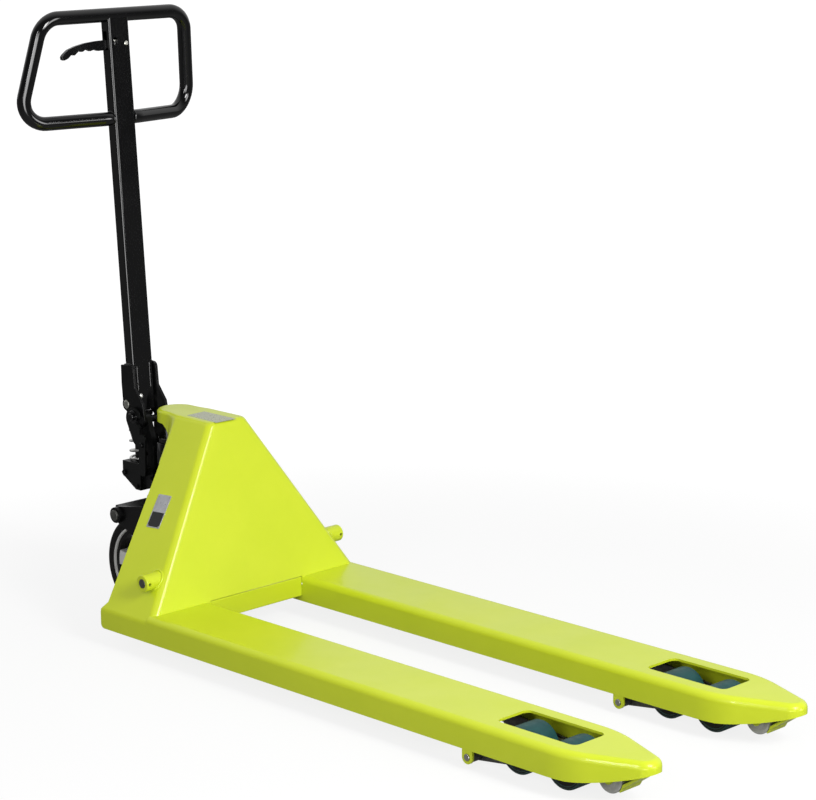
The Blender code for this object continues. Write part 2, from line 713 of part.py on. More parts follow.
def pump_body():
    """Casting that carries the axle, the cylinder, the plunger's guide, the tiller's yoke and its shields."""
    body = prism(rectangle((STEER_X - 0.03, 0.072), (STEER_X + 0.03, 0.2), 0.008), -0.033, 0.033, "Y")
    stem = rod(STEM_RADIUS - 0.0005, 0.13, FLANGE_Z[0] + 0.005, (STEER_X, 0, 0), "Z", 20)
    flange = rod(FLANGE_RADIUS, *FLANGE_Z, (STEER_X, 0, 0), "Z", 20)
    block = [(BLOCK_REAR_X, BLOCK_TOP_Z), (BLOCK_REAR_X, 0.252), (-0.346, BLOCK_BOTTOM_Z + 0.002)]
    block += [(-0.340, BLOCK_BOTTOM_Z), (BLOCK_FRONT_X, BLOCK_BOTTOM_Z), (BLOCK_FRONT_X, BLOCK_TOP_Z)]
    neck = [(BLOCK_FRONT_X - 0.002, 0.2365), (-0.245, 0.2365), (-0.245, 0.260), (-0.2735, 0.260)]
    neck += [(-0.2735, BLOCK_TOP_Z - 0.0005), (BLOCK_FRONT_X - 0.002, BLOCK_TOP_Z - 0.0005)]
    head = prism(block, -BLOCK_HALF_WIDTH, BLOCK_HALF_WIDTH, "Y")
    corner = [*CORNER_CUT, (BLOCK_REAR_X - 0.01, 0.2)]
    for _, side in SIDES:
        cut(head, prism(corner, *sorted((side * CORNER_CUT_Y, side * 0.05)), "Y"))
    join(body, stem, flange, head, prism(neck, -NECK_HALF_WIDTH, NECK_HALF_WIDTH, "Y"))
    foot = [(-0.310, 0.281, 0.003), (-0.2725, 0.281, 0.003), (-0.2725, 0.322, 0.003)]
    yoke = belt([(PIVOT_X, PIVOT_Z, LOBE_RADIUS - 0.0005), *foot])
    pad_y = (NECK_HALF_WIDTH - 0.002, SHIELD_Y[1])
    for _, side in SIDES:
        join(body, prism(yoke, *sorted(side * y for y in YOKE_Y), "Y"))
        shield = prism(belt(SHIELD_HEAD, 20), *sorted(side * y for y in SHIELD_Y), "Y")
        join(shield, prism(belt(SHIELD_LEG), *sorted(side * y for y in SHIELD_Y), "Y"))
        join(body, join(shield, prism(rectangle(*SHIELD_PAD), *sorted(side * y for y in pad_y), "Y")))
    return cut(
        body,
        bore(RAM_RADIUS + SLIDE_GAP, RAM_BOTTOM_Z - 0.002, 0.4, (STEER_X, 0, 0), "Z"),
        bore(PLUNGER_RADIUS + SLIDE_GAP, 0.2385, 0.4, (PLUNGER_X, 0, 0), "Z"),
        bore(PIVOT_PIN_RADIUS + GAP, -0.05, 0.05, (PIVOT_X, 0, PIVOT_Z), "Y"),
        bore(VALVE_PIN_RADIUS + GAP, -0.03, 0.03, (VALVE_X, 0, VALVE_Z), "Y"),
        bore(AXLE_RADIUS + GAP, -0.05, 0.05, (STEER_X, 0, AXLE_Z), "Y"),
    )


def wheel_hub(side):
    """Cast centre: a rim and a boss joined by a dished web with open windows."""
    near, far = WHEEL_Y
    inner, rim = clear(AXLE_RADIUS + GAP, 20), RIM_RADIUS - GAP
    web_near, web_far = WEB_Y
    root = RIM_INNER_RADIUS - 0.002
    profile = [(inner, near), (HUB_RADIUS, near), (HUB_RADIUS, web_near), (root, web_near)]
    profile += [(RIM_INNER_RADIUS, near + 0.002), (rim, near + 0.002), (rim, far - 0.002)]
    profile += [(RIM_INNER_RADIUS, far - 0.002), (root, web_far), (HUB_RADIUS + 0.003, web_far)]
    profile += [(HUB_RADIUS, far), (inner, far)]
    body = turned([(r, side * y) for r, y in profile], (STEER_X, 0, AXLE_Z), "Y", 20)
    for i in range(SPOKES):
        turn = 360 * i / SPOKES + SPOKE_TURN
        inner_radius, outer_radius = WINDOW_RADII
        window = arc((STEER_X, AXLE_Z), outer_radius, turn - 24, turn + 24, 3)
        window += arc((STEER_X, AXLE_Z), inner_radius, turn + 14, turn - 14, 1)
        cut(body, prism(window, *sorted((side * 0.04, side * 0.1)), "Y"))
    return body


def wheel_tyre(side):
    """Solid rubber band with rounded shoulders."""
    near, far = WHEEL_Y
    turn_radius = WHEEL_RADIUS - TYRE_SHOULDER
    shoulder = arc((turn_radius, far - TYRE_SHOULDER), TYRE_SHOULDER, 90, 0, 2)
    shoulder += arc((turn_radius, near + TYRE_SHOULDER), TYRE_SHOULDER, 0, -90, 2)
    band = clear(RIM_RADIUS, 28)
    profile = [(band, near), (band, far), *shoulder]
    return turned([(r, side * y) for r, y in profile], (STEER_X, 0, AXLE_Z), "Y", 28)


def spring_path():
    """Centre line of the plunger's spring: a straight foot, the curls and a straight end."""
    low, high = SPRING_Z
    first, last = low + 2 * SPRING_WIRE, high - 2 * SPRING_WIRE
    path = [(SPRING_RADIUS, 0.0, low), (SPRING_RADIUS, 0.0, low + SPRING_WIRE)]
    count = SPRING_CURLS * SPRING_STEPS
    for i in range(1, count):
        turn = 2 * math.pi * i / SPRING_STEPS
        rise = first + (last - first) * i / count
        path.append((SPRING_RADIUS * math.cos(turn), SPRING_RADIUS * math.sin(turn), rise))
    path += [(SPRING_RADIUS, 0.0, high - SPRING_WIRE), (SPRING_RADIUS, 0.0, high)]
    path = [Vector(spot) for spot in path]
    apart = SPRING_STEPS // 2
    nearest = min((a - b).length for i, a in enumerate(path) for b in path[i + apart:])
    print(f"least gap in the spring {1000 * (nearest - SPRING_WIRE):.2f} mm")
    return [spot + Vector((PLUNGER_X, 0, 0)) - FRAMES["steer_turn"].translation for spot in path]


def cheek(side):
    """Plate on the tiller's flank that holds the pivot and the pump roller's pin."""
    cam_x, cam_z = cam_spot()
    outline = [(-0.0495, 0.1075), *arc((-0.0225, 0.0985), 0.010, 90, 0, 3), (-0.0118, 0.063), (0.009, 0.033)]
    outline += arc((0, 0), LOBE_RADIUS, 10, -120, 6)
    outline += arc((cam_x, cam_z), 0.0135, 250, 150, 6)
    outline += [(-0.0515, 0.07)]
    body = prism(outline, *sorted(side * y for y in CHEEK_Y), "Y")
    return cut(
        body,
        bore(PIVOT_PIN_RADIUS + GAP, -0.05, 0.05, (0, 0, 0), "Y"),
        bore(CAM_PIN_RADIUS + GAP, -0.05, 0.05, (cam_x, 0, cam_z), "Y"),
    )


def cam_spot():
    """The pump roller's axis in the tiller's own frame."""
    turn = CAM_ANGLE + LEAN
    return -CAM_ARM * math.cos(turn), CAM_ARM * math.sin(turn)


def tiller_tube():
    """Rectangular tube with the lever's slot, the clevis pin's slot and holes for the lever's pin."""
    depth, width = TUBE_HALF_DEPTH, TUBE_HALF_WIDTH
    outer = rectangle((TUBE_X - depth, -width), (TUBE_X + depth, width), 0.004, 3)
    depth, width = depth - TUBE_WALL, width - TUBE_WALL
    inner = rectangle((TUBE_X - depth, -width), (TUBE_X + depth, width), 0.002, 2)
    lever = rectangle((TUBE_X - 0.0065, LEVER_Z - 0.0115), (TUBE_X + 0.005, LEVER_Z + 0.0245))
    clevis = belt([(CLEVIS_Y, LEVER_Z, 0.0035), (CLEVIS_Y + 0.0015, LEVER_Z + 0.0085, 0.0035)])
    front_x = TUBE_X + TUBE_HALF_DEPTH
    foot = rectangle((front_x - TUBE_WALL, FOOT_PLATE_Z), (front_x - 0.0001, TUBE_Z[0] + 0.004))
    hole_y, hole_z, hole_radius = FOOT_HOLE
    return cut(
        join(
            cut(prism(outer, *TUBE_Z, "Z"), prism(inner, 0.0, 1.0, "Z")),
            prism(foot, 0.004 - TUBE_HALF_WIDTH, TUBE_HALF_WIDTH - 0.004, "Y"),
        ),
        prism(belt([(hole_y + step, hole_z, hole_radius) for step in (-0.002, 0.002)]), -0.03, 0.0, "X"),
        prism(lever, -0.03, -0.02, "Y"),
        prism(clevis, TUBE_X, TUBE_X + 0.02, "X"),
        bore(LEVER_PIN_RADIUS + GAP, TUBE_X - 0.02, TUBE_X + 0.02, (0, LEVER_Y, LEVER_Z), "X"),
        bore(LOOP_RADIUS + GAP, -0.1, 0.1, (TUBE_X, 0, LOOP_TOP[2]), "Y", 24),
    )


def release_lever():
    """Flat lever with finger hollows beneath and a hub inside the tube."""
    upper = [(-0.020, 0.0075), (-0.030, 0.0082), (-0.052, 0.0075), (-0.078, 0.005), (-0.101, 0.0003)]
    upper += [(-0.118, -0.0053), (-0.130, -0.0137)]
    lower = [(-0.1335, -0.018), (-0.1325, -0.023), (-0.1285, -0.0249), (-0.1195, -0.022)]
    lower += [(-0.111, -0.0154), (-0.103, -0.0168), (-0.0925, -0.009), (-0.0845, -0.0114)]
    lower += [(-0.0745, -0.0067), (-0.0655, -0.0111), (-0.056, -0.0087), (-0.045, -0.0117)]
    lower += [(-0.031, -0.0114), (-0.0265, -0.0075), (-0.020, -0.0075)]
    hub = arc((LEVER_Y, 0), 0.007, -90, 90, 6)
    outline = [(y, z + LEVER_Z) for y, z in upper + lower + hub]
    body = prism(outline, TUBE_X + LEVER_X[0], TUBE_X + LEVER_X[1], "X")
    root, seat, end = LEVER_X[0] + 0.002, TUBE_HALF_DEPTH + 0.0004, TUBE_HALF_DEPTH + 0.003
    radius = CLEVIS_PIN_RADIUS
    pin = [(0, root), (radius, root), (radius, seat), (2 * radius, seat)]
    pin += [(2 * radius, end - 0.001), (1.4 * radius, end), (0, end)]
    join(body, turned([(r, TUBE_X + x) for r, x in pin], (0, CLEVIS_Y, LEVER_Z), "X", 12))
    return cut(body, bore(LEVER_PIN_RADIUS + GAP, -0.1, 0.1, (0, LEVER_Y, LEVER_Z), "X"))


def lever_pin():
    """Rivet across the tube that the release lever turns on."""
    seat, end = TUBE_HALF_DEPTH + GAP, TUBE_HALF_DEPTH + 0.002
    radius, head = LEVER_PIN_RADIUS, 1.5 * LEVER_PIN_RADIUS
    profile = [(0, -end), (head, -end), (head, -seat), (radius, -seat)]
    profile += [(radius, seat), (head, seat), (head, end), (0, end)]
    return turned([(r, TUBE_X + x) for r, x in profile], (0, LEVER_Y, LEVER_Z), "X", 12)


def pull_rod():
    """Wire with an eye round the clevis pin, running down inside the tube."""
    plate = (TUBE_X + 0.0048, TUBE_X + 0.0085)
    inner, outer = PULL_EYE
    body = rod(outer, *plate, (0, CLEVIS_Y, LEVER_Z), "X", 18)
    ends = (TUBE_Z[0] + 0.004, LEVER_Z - inner)
    join(body, rod(PULL_WIRE_RADIUS, *ends, (sum(plate) / 2, CLEVIS_Y, 0), "Z", 12))
    return cut(body, bore(inner, -0.1, 0.1, (0, CLEVIS_Y, LEVER_Z), "X", 12))


def valve_lever():
    """Short arm on a cross pin that opens the release valve."""
    arm = belt([(VALVE_X, VALVE_Z, 0.0065), (VALVE_X - 0.007, VALVE_Z + 0.032, 0.004)])
    body = prism(arm, -0.006, 0.006, "Y")
    return join(body, rod(VALVE_PIN_RADIUS, -0.0215, 0.0215, (VALVE_X, 0, VALVE_Z), "Y", 16))


def headed_pin(radius, head, spot):
    """Pin across the tiller with a low head at each end."""
    half, seat = PIN_END_Y, CHEEK_Y[1] + GAP
    profile = [(0, -half), (head, -half), (head, -seat), (radius, -seat)]
    profile += [(radius, seat), (head, seat), (head, half), (0, half)]
    return turned(profile, spot, "Y", 14)


def build_frames():
    """The truck's origin and one empty on every joint's axis."""
    pivot("truck", (0, 0, 0))
    bpy.data.objects["truck"].location.x = -MIDDLE_X
    pivot("rocker_swing", (TORSION_X, 0, TORSION_Z), "truck")
    pivot("lift_slide", (STEER_X, 0, TRUNNION_Z), "truck")
    pivot("steer_turn", (STEER_X, 0, AXLE_Z), "lift_slide")
    pivot("tiller_swing", (PIVOT_X, 0, PIVOT_Z), "steer_turn", LEAN)
    pivot("plunger_slide", (PLUNGER_X, 0, PLUNGER_HEAD_Z[0]), "steer_turn")
    pivot("valve_swing", (VALVE_X, 0, VALVE_Z), "steer_turn")
    spots = {
        "cam_spin": (cam_spot()[0], 0, cam_spot()[1]),
        "lever_swing": (TUBE_X, LEVER_Y, LEVER_Z),
        "rod_slide": (TUBE_X, CLEVIS_Y, LEVER_Z),
    }
    for name, spot in spots.items():
        pivot(name, FRAMES["tiller_swing"] @ Vector(spot), "tiller_swing", LEAN)
    for word, side in SIDES:
        middle = side * FORK_CENTRE_Y
        x, z = crank_pin_spot()
        pivot("wheel_spin_" + word, (STEER_X, side * WHEEL_Y[0], AXLE_Z), "steer_turn")
        pivot("push_rod_turn_" + word, (x, middle, z), "rocker_swing")
        pivot("bracket_swing_" + word, (LUG_X, middle, LUG_Z), "truck")
        pivot("bogie_turn_" + word, (BOGIE_X, middle, ROLLER_RADIUS), "bracket_swing_" + word)
        pivot("entry_spin_" + word, (ENTRY_X, middle, ENTRY_Z), "truck")
        for place_word, sign in (("rear", -1), ("front", 1)):
            x = BOGIE_X + sign * ROLLER_SPACING / 2
            pivot(f"load_spin_{word}_{place_word}", (x, middle, ROLLER_RADIUS), "bogie_turn_" + word)


def build_chassis():
    """Everything that rises with the forks."""
    spot = (TORSION_X, 0, TORSION_Z)
    place(hood_shell(), "hood_shell", "lime_paint", "truck")
    place(hood_top(), "hood_top", "lime_paint", "truck")
    plate = CROSSBAR_PLATE
    bar = [(-0.045, 0.046), (0.0, 0.046), (0.0, FORK_TOP_Z - GAP), (-plate, FORK_TOP_Z - GAP)]
    bar += [(-plate, 0.046 + plate), (-0.045, 0.046 + plate)]
    reach = FORK_CENTRE_Y - FORK_HALF_WIDTH - GAP
    place(prism(bar, -reach, reach, "Y"), "crossbar", "lime_paint", "truck")
    end = BOSS_Y[1] + 0.0003
    place(rod(SHAFT_RADIUS, -end, end, spot, "Y"), "torsion_shaft", "zinc_steel", "truck")
    for word, side in SIDES:
        middle = side * FORK_CENTRE_Y
        place(fork(side), "fork_" + word, "lime_paint", "truck")
        boss = ring(SHAFT_RADIUS + GAP, BOSS_RADIUS, *sorted(side * y for y in BOSS_Y), spot, "Y")
        place(boss, "torsion_boss_" + word, "lime_paint", "truck")
        reach = FORK_HALF_WIDTH - GAP
        pin = rod(LUG_PIN_RADIUS, middle - reach, middle + reach, (LUG_X, 0, LUG_Z), "Y")
        place(pin, "lug_pin_" + word, "zinc_steel", "truck")
        reach = ENTRY_HALF_WIDTH + RAMP_PLATE + 0.001
        axle = rod(ENTRY_AXLE_RADIUS, middle - reach, middle + reach, (ENTRY_X, 0, ENTRY_Z), "Y", 16)
        place(axle, "entry_axle_" + word, "zinc_steel", "truck")
        place(entry_roller(middle), "entry_roller_" + word, "grey_nylon", "entry_spin_" + word)
    ram = [(0, RAM_BOTTOM_Z), (RAM_RADIUS, RAM_BOTTOM_Z), (RAM_RADIUS, RAM_TOP_Z - 0.008)]
    ram += [(RAM_RADIUS - 0.003, RAM_TOP_Z - 0.003), (RAM_RADIUS - 0.008, RAM_TOP_Z), (0, RAM_TOP_Z)]
    place(turned(ram, (STEER_X, 0, 0), "Z"), "lift_ram", "chrome", "truck")
    cup = [(0, RAM_TOP_Z + GAP), (0.0095, RAM_TOP_Z + GAP), (0.0142, RAM_TOP_Z - 0.0026)]
    cup += [(0.0172, RAM_TOP_Z - 0.007), (0.0197, RAM_TOP_Z - 0.007)]
    cup += [(0.0197, HOOD_TOP_Z - 2 * GAP), (0, HOOD_TOP_Z - 2 * GAP)]
    place(turned(cup, (STEER_X, 0, 0), "Z"), "ram_cup", "black_paint", "truck")


def build_linkage():
    """The rocker, the push rods and the roller brackets that they turn."""
    place(rocker(), "rocker", "black_paint", "rocker_swing")
    for word, side in SIDES:
        middle = side * FORK_CENTRE_Y
        ends = [(0, PIN_ROOT_Y), (TRUNNION_RADIUS, PIN_ROOT_Y), (TRUNNION_RADIUS, TRUNNION_END_Y + GAP)]
        ends += [(TRUNNION_HEAD, TRUNNION_END_Y + GAP)]
        ends += [(TRUNNION_HEAD, TRUNNION_END_Y + 0.004), (0, TRUNNION_END_Y + 0.004)]
        pin = turned([(r, side * y) for r, y in ends], (STEER_X, 0, TRUNNION_Z), "Y", 18)
        place(pin, "trunnion_pin_" + word, "zinc_steel", "rocker_swing")
        place(push_rod(middle), "push_rod_" + word, "black_paint", "push_rod_turn_" + word)
        place(roller_bracket(middle), "roller_bracket_" + word, "black_paint", "bracket_swing_" + word)
        reach = BRACKET_Y[1] + 0.001
        pin = rod(BOGIE_PIN_RADIUS, middle - reach, middle + reach, (BOGIE_X, 0, ROLLER_RADIUS), "Y", 16)
        place(pin, "bogie_pin_" + word, "zinc_steel", "bracket_swing_" + word)
        place(bogie(middle), "bogie_" + word, "zinc_steel", "bogie_turn_" + word)
        for place_word, sign in (("rear", -1), ("front", 1)):
            x = BOGIE_X + sign * ROLLER_SPACING / 2
            name = f"{word}_{place_word}"
            place(load_roller(x, middle), "load_roller_" + name, "teal_polyurethane", "load_spin_" + name)


def build_steering():
    """The collar, the pump with its cylinder and the two steered wheels."""
    spot = (STEER_X, 0, 0)
    place(thrust_ring(), "thrust_ring", "black_paint", "lift_slide")
    bearing = ring(STEM_RADIUS + 0.001, FLANGE_RADIUS - 0.001, RING_Z[1] + GAP, FLANGE_Z[0] - GAP, spot, "Z")
    place(bearing, "thrust_bearing", "zinc_steel", "lift_slide")
    place(pump_body(), "pump_body", "black_paint", "steer_turn")
    cylinder = ring(RAM_RADIUS + SLIDE_GAP, CYLINDER_RADIUS, FLANGE_Z[1] + GAP, CYLINDER_TOP_Z, spot, "Z", 20)
    place(cylinder, "lift_cylinder", "black_paint", "steer_turn")
    gland = ring(RAM_RADIUS + SLIDE_GAP, 0.029, CYLINDER_TOP_Z + GAP, GLAND_TOP_Z, spot, "Z", 20)
    place(gland, "gland_nut", "black_paint", "steer_turn")
    inner = PLUNGER_RADIUS + SLIDE_GAP
    guide = ring(inner, GUIDE_RADIUS, BLOCK_TOP_Z + GAP, GUIDE_TOP_Z, (PLUNGER_X, 0, 0), "Z", 20)
    place(guide, "plunger_guide", "zinc_steel", "steer_turn")
    pin = headed_pin(PIVOT_PIN_RADIUS, PIVOT_HEAD, (PIVOT_X, 0, PIVOT_Z))
    place(pin, "tiller_pivot_pin", "zinc_steel", "steer_turn")
    reach = WHEEL_Y[1] + 0.0005
    axle = rod(AXLE_RADIUS, -reach, reach, (STEER_X, 0, AXLE_Z), "Y")
    place(axle, "wheel_axle", "zinc_steel", "steer_turn")
    for name, (x, z, radius) in (("filler_plug", PLUG), ("relief_screw", SCREW)):
        ends = (-BLOCK_HALF_WIDTH - 0.8 * radius, -BLOCK_HALF_WIDTH - GAP)
        place(rod(radius, *ends, (x, 0, z), "Y", 6), name, "zinc_steel", "steer_turn")
    for word, side in SIDES:
        ends = sorted((side * (reach + GAP), side * (reach + AXLE_CAP[1])))
        cap = rod(AXLE_CAP[0], *ends, (STEER_X, 0, AXLE_Z), "Y", 16)
        place(cap, "axle_cap_" + word, "zinc_steel", "steer_turn")
        place(wheel_hub(side), "wheel_hub_" + word, "cast_aluminium", "wheel_spin_" + word)
        place(wheel_tyre(side), "wheel_tyre_" + word, "black_rubber", "wheel_spin_" + word)


def build_pump_drive():
    """The plunger with its spring and the valve lever."""
    low, high = PLUNGER_HEAD_Z
    profile = [(0, PLUNGER_FOOT_Z), (PLUNGER_RADIUS, PLUNGER_FOOT_Z), (PLUNGER_RADIUS, low)]
    profile += [(PLUNGER_HEAD_RADIUS, low)]
    profile += [(PLUNGER_HEAD_RADIUS, high - 0.002), (PLUNGER_HEAD_RADIUS - 0.002, high), (0, high)]
    place(turned(profile, (PLUNGER_X, 0, 0), "Z", 20), "pump_plunger", "zinc_steel", "plunger_slide")
    bent_tube("plunger_spring", spring_path(), SPRING_WIRE / 2, 1, "zinc_steel", "steer_turn")
    place(valve_lever(), "valve_lever", "zinc_steel", "valve_swing")


def build_tiller():
    """The tube, its cheeks and loop, the pump roller, and the release lever with its rod."""
    place(tiller_tube(), "tiller_tube", "black_paint", "tiller_swing", True)
    top, low = LOOP_TOP, LOOP_LOW
    half = [(TUBE_X, LOOP_ROOT_Y, low[2]), (TUBE_X, LOOP_ROOT_Y + LOOP_ROOT_RUN, low[2]), low, top]
    corners = half + [(x, -y, z) for x, y, z in half[::-1]]
    path = rounded_path(corners, LOOP_BEND, 6)
    bent_tube("handle_loop", path, LOOP_RADIUS, 2, "black_paint", "tiller_swing", LOOP_WALL)
    for word, side in SIDES:
        place(cheek(side), "tiller_cheek_" + word, "black_paint", "tiller_swing", True)
    x, z = cam_spot()
    pin = headed_pin(CAM_PIN_RADIUS, CAM_HEAD, (x, 0, z))
    place(pin, "roller_pin", "zinc_steel", "tiller_swing", True)
    place(lever_pin(), "lever_pin", "zinc_steel", "tiller_swing", True)
    wide = CAM_HALF_WIDTH
    roller = ring(CAM_PIN_RADIUS + GAP, CAM_RADIUS, -wide, wide, FRAMES["cam_spin"].translation, "Y")
    place(roller, "pump_roller", "zinc_steel", "cam_spin")
    for make, name, surface, frame in (
        (release_lever, "release_lever", "black_paint", "lever_swing"),
        (pull_rod, "pull_rod", "zinc_steel", "rod_slide"),
    ):
        piece = make()
        piece.data.transform(FRAMES["tiller_swing"])
        place(piece, name, surface, frame)


for old in list(bpy.data.objects):
    bpy.data.objects.remove(old)
paint("lime_paint", (0.58, 0.72, 0.02), 0.35, 0.0)
paint("black_paint", (0.01, 0.01, 0.01), 0.3, 0.0)
paint("zinc_steel", (0.45, 0.45, 0.43), 0.35, 1.0)
paint("chrome", (0.75, 0.75, 0.75), 0.12, 1.0)
paint("cast_aluminium", (0.6, 0.6, 0.6), 0.4, 1.0)
paint("black_rubber", (0.015, 0.015, 0.015), 0.7, 0.0)
paint("teal_polyurethane", (0.05, 0.14, 0.16), 0.45, 0.0)
paint("grey_nylon", (0.4, 0.4, 0.4), 0.5, 0.0)
build_frames()
build_chassis()
build_linkage()
build_steering()
build_pump_drive()
build_tiller()
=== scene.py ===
# %% [markdown]
# # A hand pallet truck
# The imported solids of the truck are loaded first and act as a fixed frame. Every piece made below rides
# on one of the frame's bodies, so the forks still lift, the wheels still steer and the tiller still
# swings. Lengths are in metres, X runs to the fork tips, Y to the truck's left and Z up.

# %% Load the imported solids
import json
import math

import bmesh
import bpy
from mathutils import Matrix, Vector, noise

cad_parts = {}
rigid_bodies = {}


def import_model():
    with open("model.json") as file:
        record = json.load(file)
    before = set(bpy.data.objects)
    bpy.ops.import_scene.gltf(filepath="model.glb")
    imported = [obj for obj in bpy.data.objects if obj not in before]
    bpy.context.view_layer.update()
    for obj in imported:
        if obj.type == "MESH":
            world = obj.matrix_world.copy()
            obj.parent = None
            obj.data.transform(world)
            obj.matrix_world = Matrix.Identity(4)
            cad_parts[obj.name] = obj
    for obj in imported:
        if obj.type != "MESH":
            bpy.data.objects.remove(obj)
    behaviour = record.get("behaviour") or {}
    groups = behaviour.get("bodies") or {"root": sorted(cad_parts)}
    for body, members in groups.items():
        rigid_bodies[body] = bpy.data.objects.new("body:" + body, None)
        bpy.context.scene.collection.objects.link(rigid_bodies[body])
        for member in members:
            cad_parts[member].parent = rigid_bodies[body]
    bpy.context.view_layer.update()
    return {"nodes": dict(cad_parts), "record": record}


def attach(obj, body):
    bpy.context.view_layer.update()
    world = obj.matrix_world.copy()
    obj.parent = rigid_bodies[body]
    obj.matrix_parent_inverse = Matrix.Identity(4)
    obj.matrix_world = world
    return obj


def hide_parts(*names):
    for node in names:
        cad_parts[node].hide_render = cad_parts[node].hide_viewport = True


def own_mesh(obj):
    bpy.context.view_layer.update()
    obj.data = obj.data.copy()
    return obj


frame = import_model()
CAD = frame["nodes"]

# %% [markdown]
# ## Two places to draw from
# The truck is easiest to draw with X zero at the crossbar, and the tiller with its pivot at the origin
# and its tube straight up. A matrix for each carries a finished mesh from its drawing place to the
# frame.

# %% The drawing places
CROSSBAR_X = -0.36125
TILLER_PIVOT = (-0.300, 0.0, 0.372)
TILLER_LEAN = math.radians(3.93)
TRUCK = Matrix.Translation((CROSSBAR_X, 0, 0))
TILLER = TRUCK @ Matrix.Translation(TILLER_PIVOT) @ Matrix.Rotation(-TILLER_LEAN, 4, "Y")
SIDES = (("left", 1), ("right", -1))

# %% [markdown]
# ## The camera
# A long lens from the right of the fork tips, a little above the hood, gives the same view as the
# photograph. Its place comes from the forks' known length and width, and the shift only sets the
# framing.

# %% Camera
IMAGE_WIDTH = 816
FOCAL_PIXELS = 2586.27
SENSOR = 36.0
AZIMUTH, ELEVATION, ROLL = (math.radians(d) for d in (44.39, 12.60, -0.112))
CAMERA_SPOT = (3.57236, -3.14755, 1.50386)
bpy.ops.object.select_all(action="DESELECT")
bpy.ops.object.camera_add()
camera = bpy.context.object
camera.data.sensor_width = SENSOR
camera.data.lens = FOCAL_PIXELS * SENSOR / IMAGE_WIDTH
camera.data.shift_x = -0.0396
camera.data.shift_y = 0.0072
turn = Matrix.Rotation(AZIMUTH, 4, "Z") @ Matrix.Rotation(math.pi / 2 - ELEVATION, 4, "X")
camera.matrix_world = TRUCK @ Matrix.Translation(CAMERA_SPOT) @ turn @ Matrix.Rotation(ROLL, 4, "Z")
bpy.context.scene.camera = camera
bpy.context.scene.view_settings.view_transform = "Standard"
print("lens", round(camera.data.lens, 1), "mm")

# %% [markdown]
# ## Colours and nodes
# A colour is written as it looks on a screen, in sRGB hex, and turned to the linear values that shaders
# want. One small function adds any node: plain names are the node's own settings, and the rest are its
# sockets.

# %% Colour and node helpers
def linear(code):
    """An sRGB hex colour as linear red, green, blue and full opacity."""
    parts = [int(code[i:i + 2], 16) / 255 for i in (1, 3, 5)]
    return [c / 12.92 if c <= 0.04045 else ((c + 0.055) / 1.055) ** 2.4 for c in parts] + [1.0]


def add_node(tree, kind, settings=(), links=()):
    """A new node with its settings made and its inputs joined to other nodes' outputs."""
    made = tree.nodes.new("ShaderNode" + kind)
    for key, value in dict(settings).items():
        if isinstance(key, str) and hasattr(made, key):
            setattr(made, key, value)
        else:
            made.inputs[key].default_value = value
    for key, source in dict(links).items():
        tree.links.new(source, made.inputs[key])
    return made


# %% [markdown]
# ## The studio
# The photograph was taken in a white studio: a pale floor that runs out of sight, one large soft lamp
# in front of the forks and weaker light from all round. The world is white to the camera. In
# reflections it is white behind the truck and bright where the photographer stood, so that round edges
# show a line of light, and dim to both sides of that, so that flat black paint looks black. The floor
# keeps the shadow and runs out to plain white a few steps away from the truck. It throws little light
# back up, so the undersides stay dark.

# %% World
ROOM_LIGHT, ROOM_SHEEN, BACK_SHEEN, BACK_RISE, BACK_EDGE = 0.45, 0.10, 0.82, 0.55, (-0.1, 0.75)
# A glow in reflections has a strength, a direction, and the cosines off it where it starts and is full
FRONT_SHEEN, FRONT_DIP, FRONT_EDGE = 6.0, -0.17, (0.89, 0.975)
STRIP_SHEEN, STRIP_AIM, STRIP_EDGE = 8.0, (0.944, 0.325, 0.052), (0.955, 0.985)
FLOOR_SHEEN, FLOOR_STRIP, FLOOR_EDGE = 0.16, 9.0, (0.93, 0.99)
# Metres from the truck at which the paper runs out to white, and at which it glows in reflections
PAPER_SIZE, PAPER_FADE, PAPER_NEAR, PAPER_WHITE, GLOW_REACH = 60.0, (0.9, 2.4), 0.78, 1.08, (0.95, 1.5)
PAPER_SEEN, PAPER_BOUNCE = "#DADADA", "#9C9C9C"


def glow(tree, direction, aim, edge, low, high):
    """A level that rises smoothly from low to high as a direction nears an aim."""
    near = add_node(tree, "VectorMath", {"operation": "DOT_PRODUCT", 1: aim}, {0: direction})
    return add_node(
        tree, "MapRange",
        {"interpolation_type": "SMOOTHSTEP", "From Min": edge[0], "From Max": edge[1],
         "To Min": low, "To Max": high},
        {"Value": near.outputs["Value"]},
    ).outputs["Result"]


FRONT, UP = Vector((math.sin(AZIMUTH), -math.cos(AZIMUTH), 0.0)), Vector((0, 0, 1))
world = bpy.data.worlds.new("white_studio")
bpy.context.scene.world = world
world.use_nodes = True
tree = world.node_tree
tree.nodes.clear()
rays = add_node(tree, "LightPath")
way = add_node(tree, "TexCoord").outputs["Generated"]
sheen = glow(tree, way, UP * BACK_RISE - FRONT, BACK_EDGE, ROOM_SHEEN, BACK_SHEEN)
front = glow(tree, way, (FRONT + UP * FRONT_DIP).normalized(), FRONT_EDGE, 0.0, FRONT_SHEEN)
strip = glow(tree, way, STRIP_AIM, STRIP_EDGE, 0.0, STRIP_SHEEN)
sheen = add_node(tree, "Math", {"operation": "ADD"}, {0: sheen, 1: front})
sheen = add_node(tree, "Math", {"operation": "ADD"}, {0: sheen.outputs[0], 1: strip})
mirrored = add_node(tree, "Math", {"operation": "MAXIMUM"},
                    {0: rays.outputs["Is Glossy Ray"], 1: rays.outputs["Is Transmission Ray"]})
dim = add_node(tree, "Mix", {2: ROOM_LIGHT}, {0: mirrored.outputs[0], 3: sheen.outputs[0]})
level = add_node(tree, "Mix", {3: 1.0}, {0: rays.outputs["Is Camera Ray"], 2: dim.outputs[0]})
